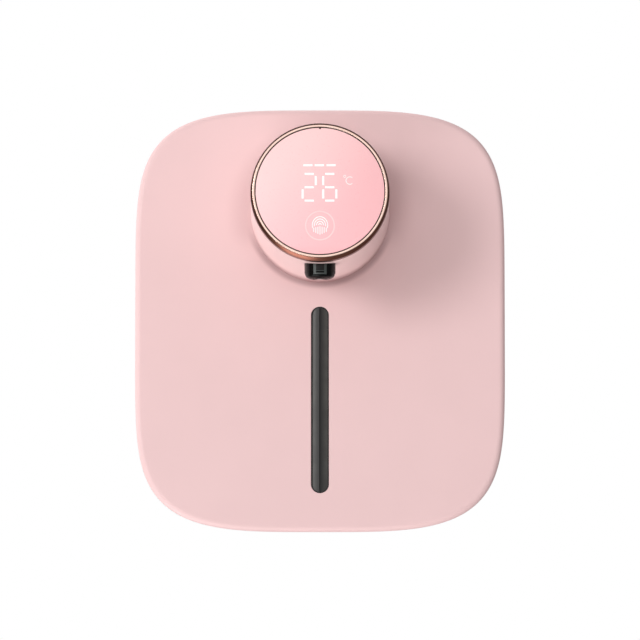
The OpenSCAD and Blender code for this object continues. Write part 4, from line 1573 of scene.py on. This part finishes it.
@dataclass
class WallBracket:
    """Plate that stays on the wall."""

    rounding: float = 0.35

    def build(self) -> None:
        """Makes the plate."""
        plate = softened_copy("wall_plate", "bracket_plate", self.rounding, 3)
        place(plate, WHITE, Body.BRACKET, "white_plastic", ["wall_plate"])


@dataclass
class Workings:
    """Every CAD node that shows as it is, or stays hidden behind a finer piece."""

    def build(self) -> None:
        """Dresses each CAD node in the finish of its material slot."""
        slots = {row["node"]: row["material_slot"] for row in frame["record"]["subparts"]}
        for name, node in sorted(frame["nodes"].items()):
            finish = NODE_FINISHES.get(name, SLOT_FINISHES[slots[name]])
            node.data.materials.clear()
            node.data.materials.append(finish.material())
            LOG.info("%s: %s", name, finish.name)


@dataclass
class Studio:
    """Floor, world light, key light and camera."""

    floor_z: float = -2.4
    floor_half: float = 40.0
    target: Triple = (0.0, -0.043, 0.0)
    distance: float = 2.2
    elevation: float = -6.5
    lens: float = 408.6
    key_way: Triple = (31.0, 50.0, -8.0)
    key_distance: float = 1.3
    key_size: float = 0.42
    key_watts: float = 5.3
    under_way: Triple = (-0.434, -0.262, -0.862)
    under_distance: float = 2.0
    under_size: float = 1.5
    under_watts: float = 24.0
    ambient: float = 0.62
    behind: float = 0.14
    # Soft panels in the surround: direction, cosines of their rim and core, brightness
    panels: tuple[tuple[Triple, float, float, float], ...] = (
        ((-0.25, -0.96, 0.12), 0.9, 0.97, 0.6),
    )
    white: Colour = (1.0, 1.0, 1.0, 1.0)

    def build_floor(self) -> None:
        """Lays a plain pale floor well below the part."""
        blank = Blank()
        half = self.floor_half / MM
        bmesh.ops.create_grid(
            blank.mesh, x_segments=4, y_segments=4, size=half,
            matrix=Matrix.Translation((0.0, 0.0, self.floor_z / MM)),
        )
        floor = blank.piece("studio_floor")
        finish = MouldedPlastic("studio_floor", shade(238, 237, 235), 0.7, 40.0, 0.0, 0.01)
        floor.data.materials.append(finish.material())

    def build_world(self) -> None:
        """Makes a white surround: bright in front, dim behind, with a soft front panel."""
        world = bpy.data.worlds.new("studio")
        bpy.context.scene.world = world
        world.use_nodes = True
        shader = Shader(world.node_tree)
        way = shader.add("ShaderNodeTexCoord").outputs["Generated"]
        parts = shader.add("ShaderNodeSeparateXYZ", feeds={0: way})
        glow = Signal(shader, parts.outputs[1]).ramp(-0.65, 0.35, self.ambient, self.behind)
        for aim, near, centre, strength in self.panels:
            facing = shader.add(
                "ShaderNodeVectorMath", {"operation": "DOT_PRODUCT"},
                {0: way, 1: Vector(aim).normalized()},
            )
            glow = glow + Signal(shader, facing.outputs["Value"]).ramp(near, centre, 0.0, strength)
        seen = Signal(shader, shader.add("ShaderNodeLightPath").outputs["Is Camera Ray"])
        glow = glow * (1 - seen) + seen
        back = shader.add("ShaderNodeBackground", feeds={"Color": self.white, "Strength": glow})
        shader.add("ShaderNodeOutputWorld", feeds={0: back.outputs[0]})

    def _lamp(
        self, name: str, place_at: Vector, aim: Vector, size: float, watts: float,
        glossy: bool = True,
    ) -> None:
        """Adds a square soft light.

        Args:
            name: Its name.
            place_at: Where it stands.
            aim: The point that it faces.
            size: Side of the square, in metres.
            watts: Its power.
            glossy: Whether it shows in reflections.
        """
        data = bpy.data.lights.new(name, "AREA")
        data.shape = "DISK"
        data.size = size
        data.energy = watts
        lamp = bpy.data.objects.new(name, data)
        lamp.location = place_at
        lamp.rotation_mode = "QUATERNION"
        lamp.rotation_quaternion = (aim - place_at).to_track_quat("-Z", "Y")
        lamp.visible_camera = False
        lamp.visible_glossy = glossy
        bpy.context.scene.collection.objects.link(lamp)

    def build_lights(self) -> None:
        """Sets the key light at the upper left and weak fills behind."""
        head = Vector((0.0, -0.07, 0.02))
        way = Vector(self.key_way).normalized()
        self._lamp("key", head - way * self.key_distance, head, self.key_size, self.key_watts)
        under = Vector(self.under_way).normalized() * self.under_distance
        self._lamp("under", head + under, head, self.under_size, self.under_watts)
        for name, spot, watts in (
            ("rear_left", (-1.1, 0.45, 1.3), 24.0), ("rear_right", (1.1, 1.5, 0.7), 14.0),
        ):
            self._lamp(name, Vector(spot), Vector((0.0, 0.0, 0.0)), 1.2, watts, False)

    def build_camera(self) -> None:
        """Sets the camera in front of the part, a little below it."""
        data = bpy.data.cameras.new("camera")
        data.lens = self.lens
        data.sensor_width = 36.0
        data.clip_start, data.clip_end = 0.05, 200.0
        camera = bpy.data.objects.new("camera", data)
        tilt = math.radians(self.elevation)
        back = Vector((0.0, -math.cos(tilt), math.sin(tilt)))
        camera.location = Vector(self.target) + back * self.distance
        camera.rotation_mode = "QUATERNION"
        camera.rotation_quaternion = (-back).to_track_quat("-Z", "Y")
        bpy.context.scene.collection.objects.link(camera)
        bpy.context.scene.camera = camera

    def build(self) -> None:
        """Makes the whole studio."""
        self.build_floor()
        self.build_world()
        self.build_lights()
        self.build_camera()
        bpy.context.scene.view_settings.view_transform = "Standard"


def main() -> None:
    """Builds the sub-assemblies in order."""
    logging.basicConfig(level=logging.INFO, format="%(name)s %(message)s")
    outline = Outline()
    port = ChargingPort(outline=outline)
    for part in (
        Workings(), Casing(outline, port), port, Head(), Display(), Nozzle(), LevelWindow(),
        RefillLid(), WallBracket(), Studio(),
    ):
        LOG.info("building %s", type(part).__name__)
        part.build()


if __name__ == "__main__":
    main()
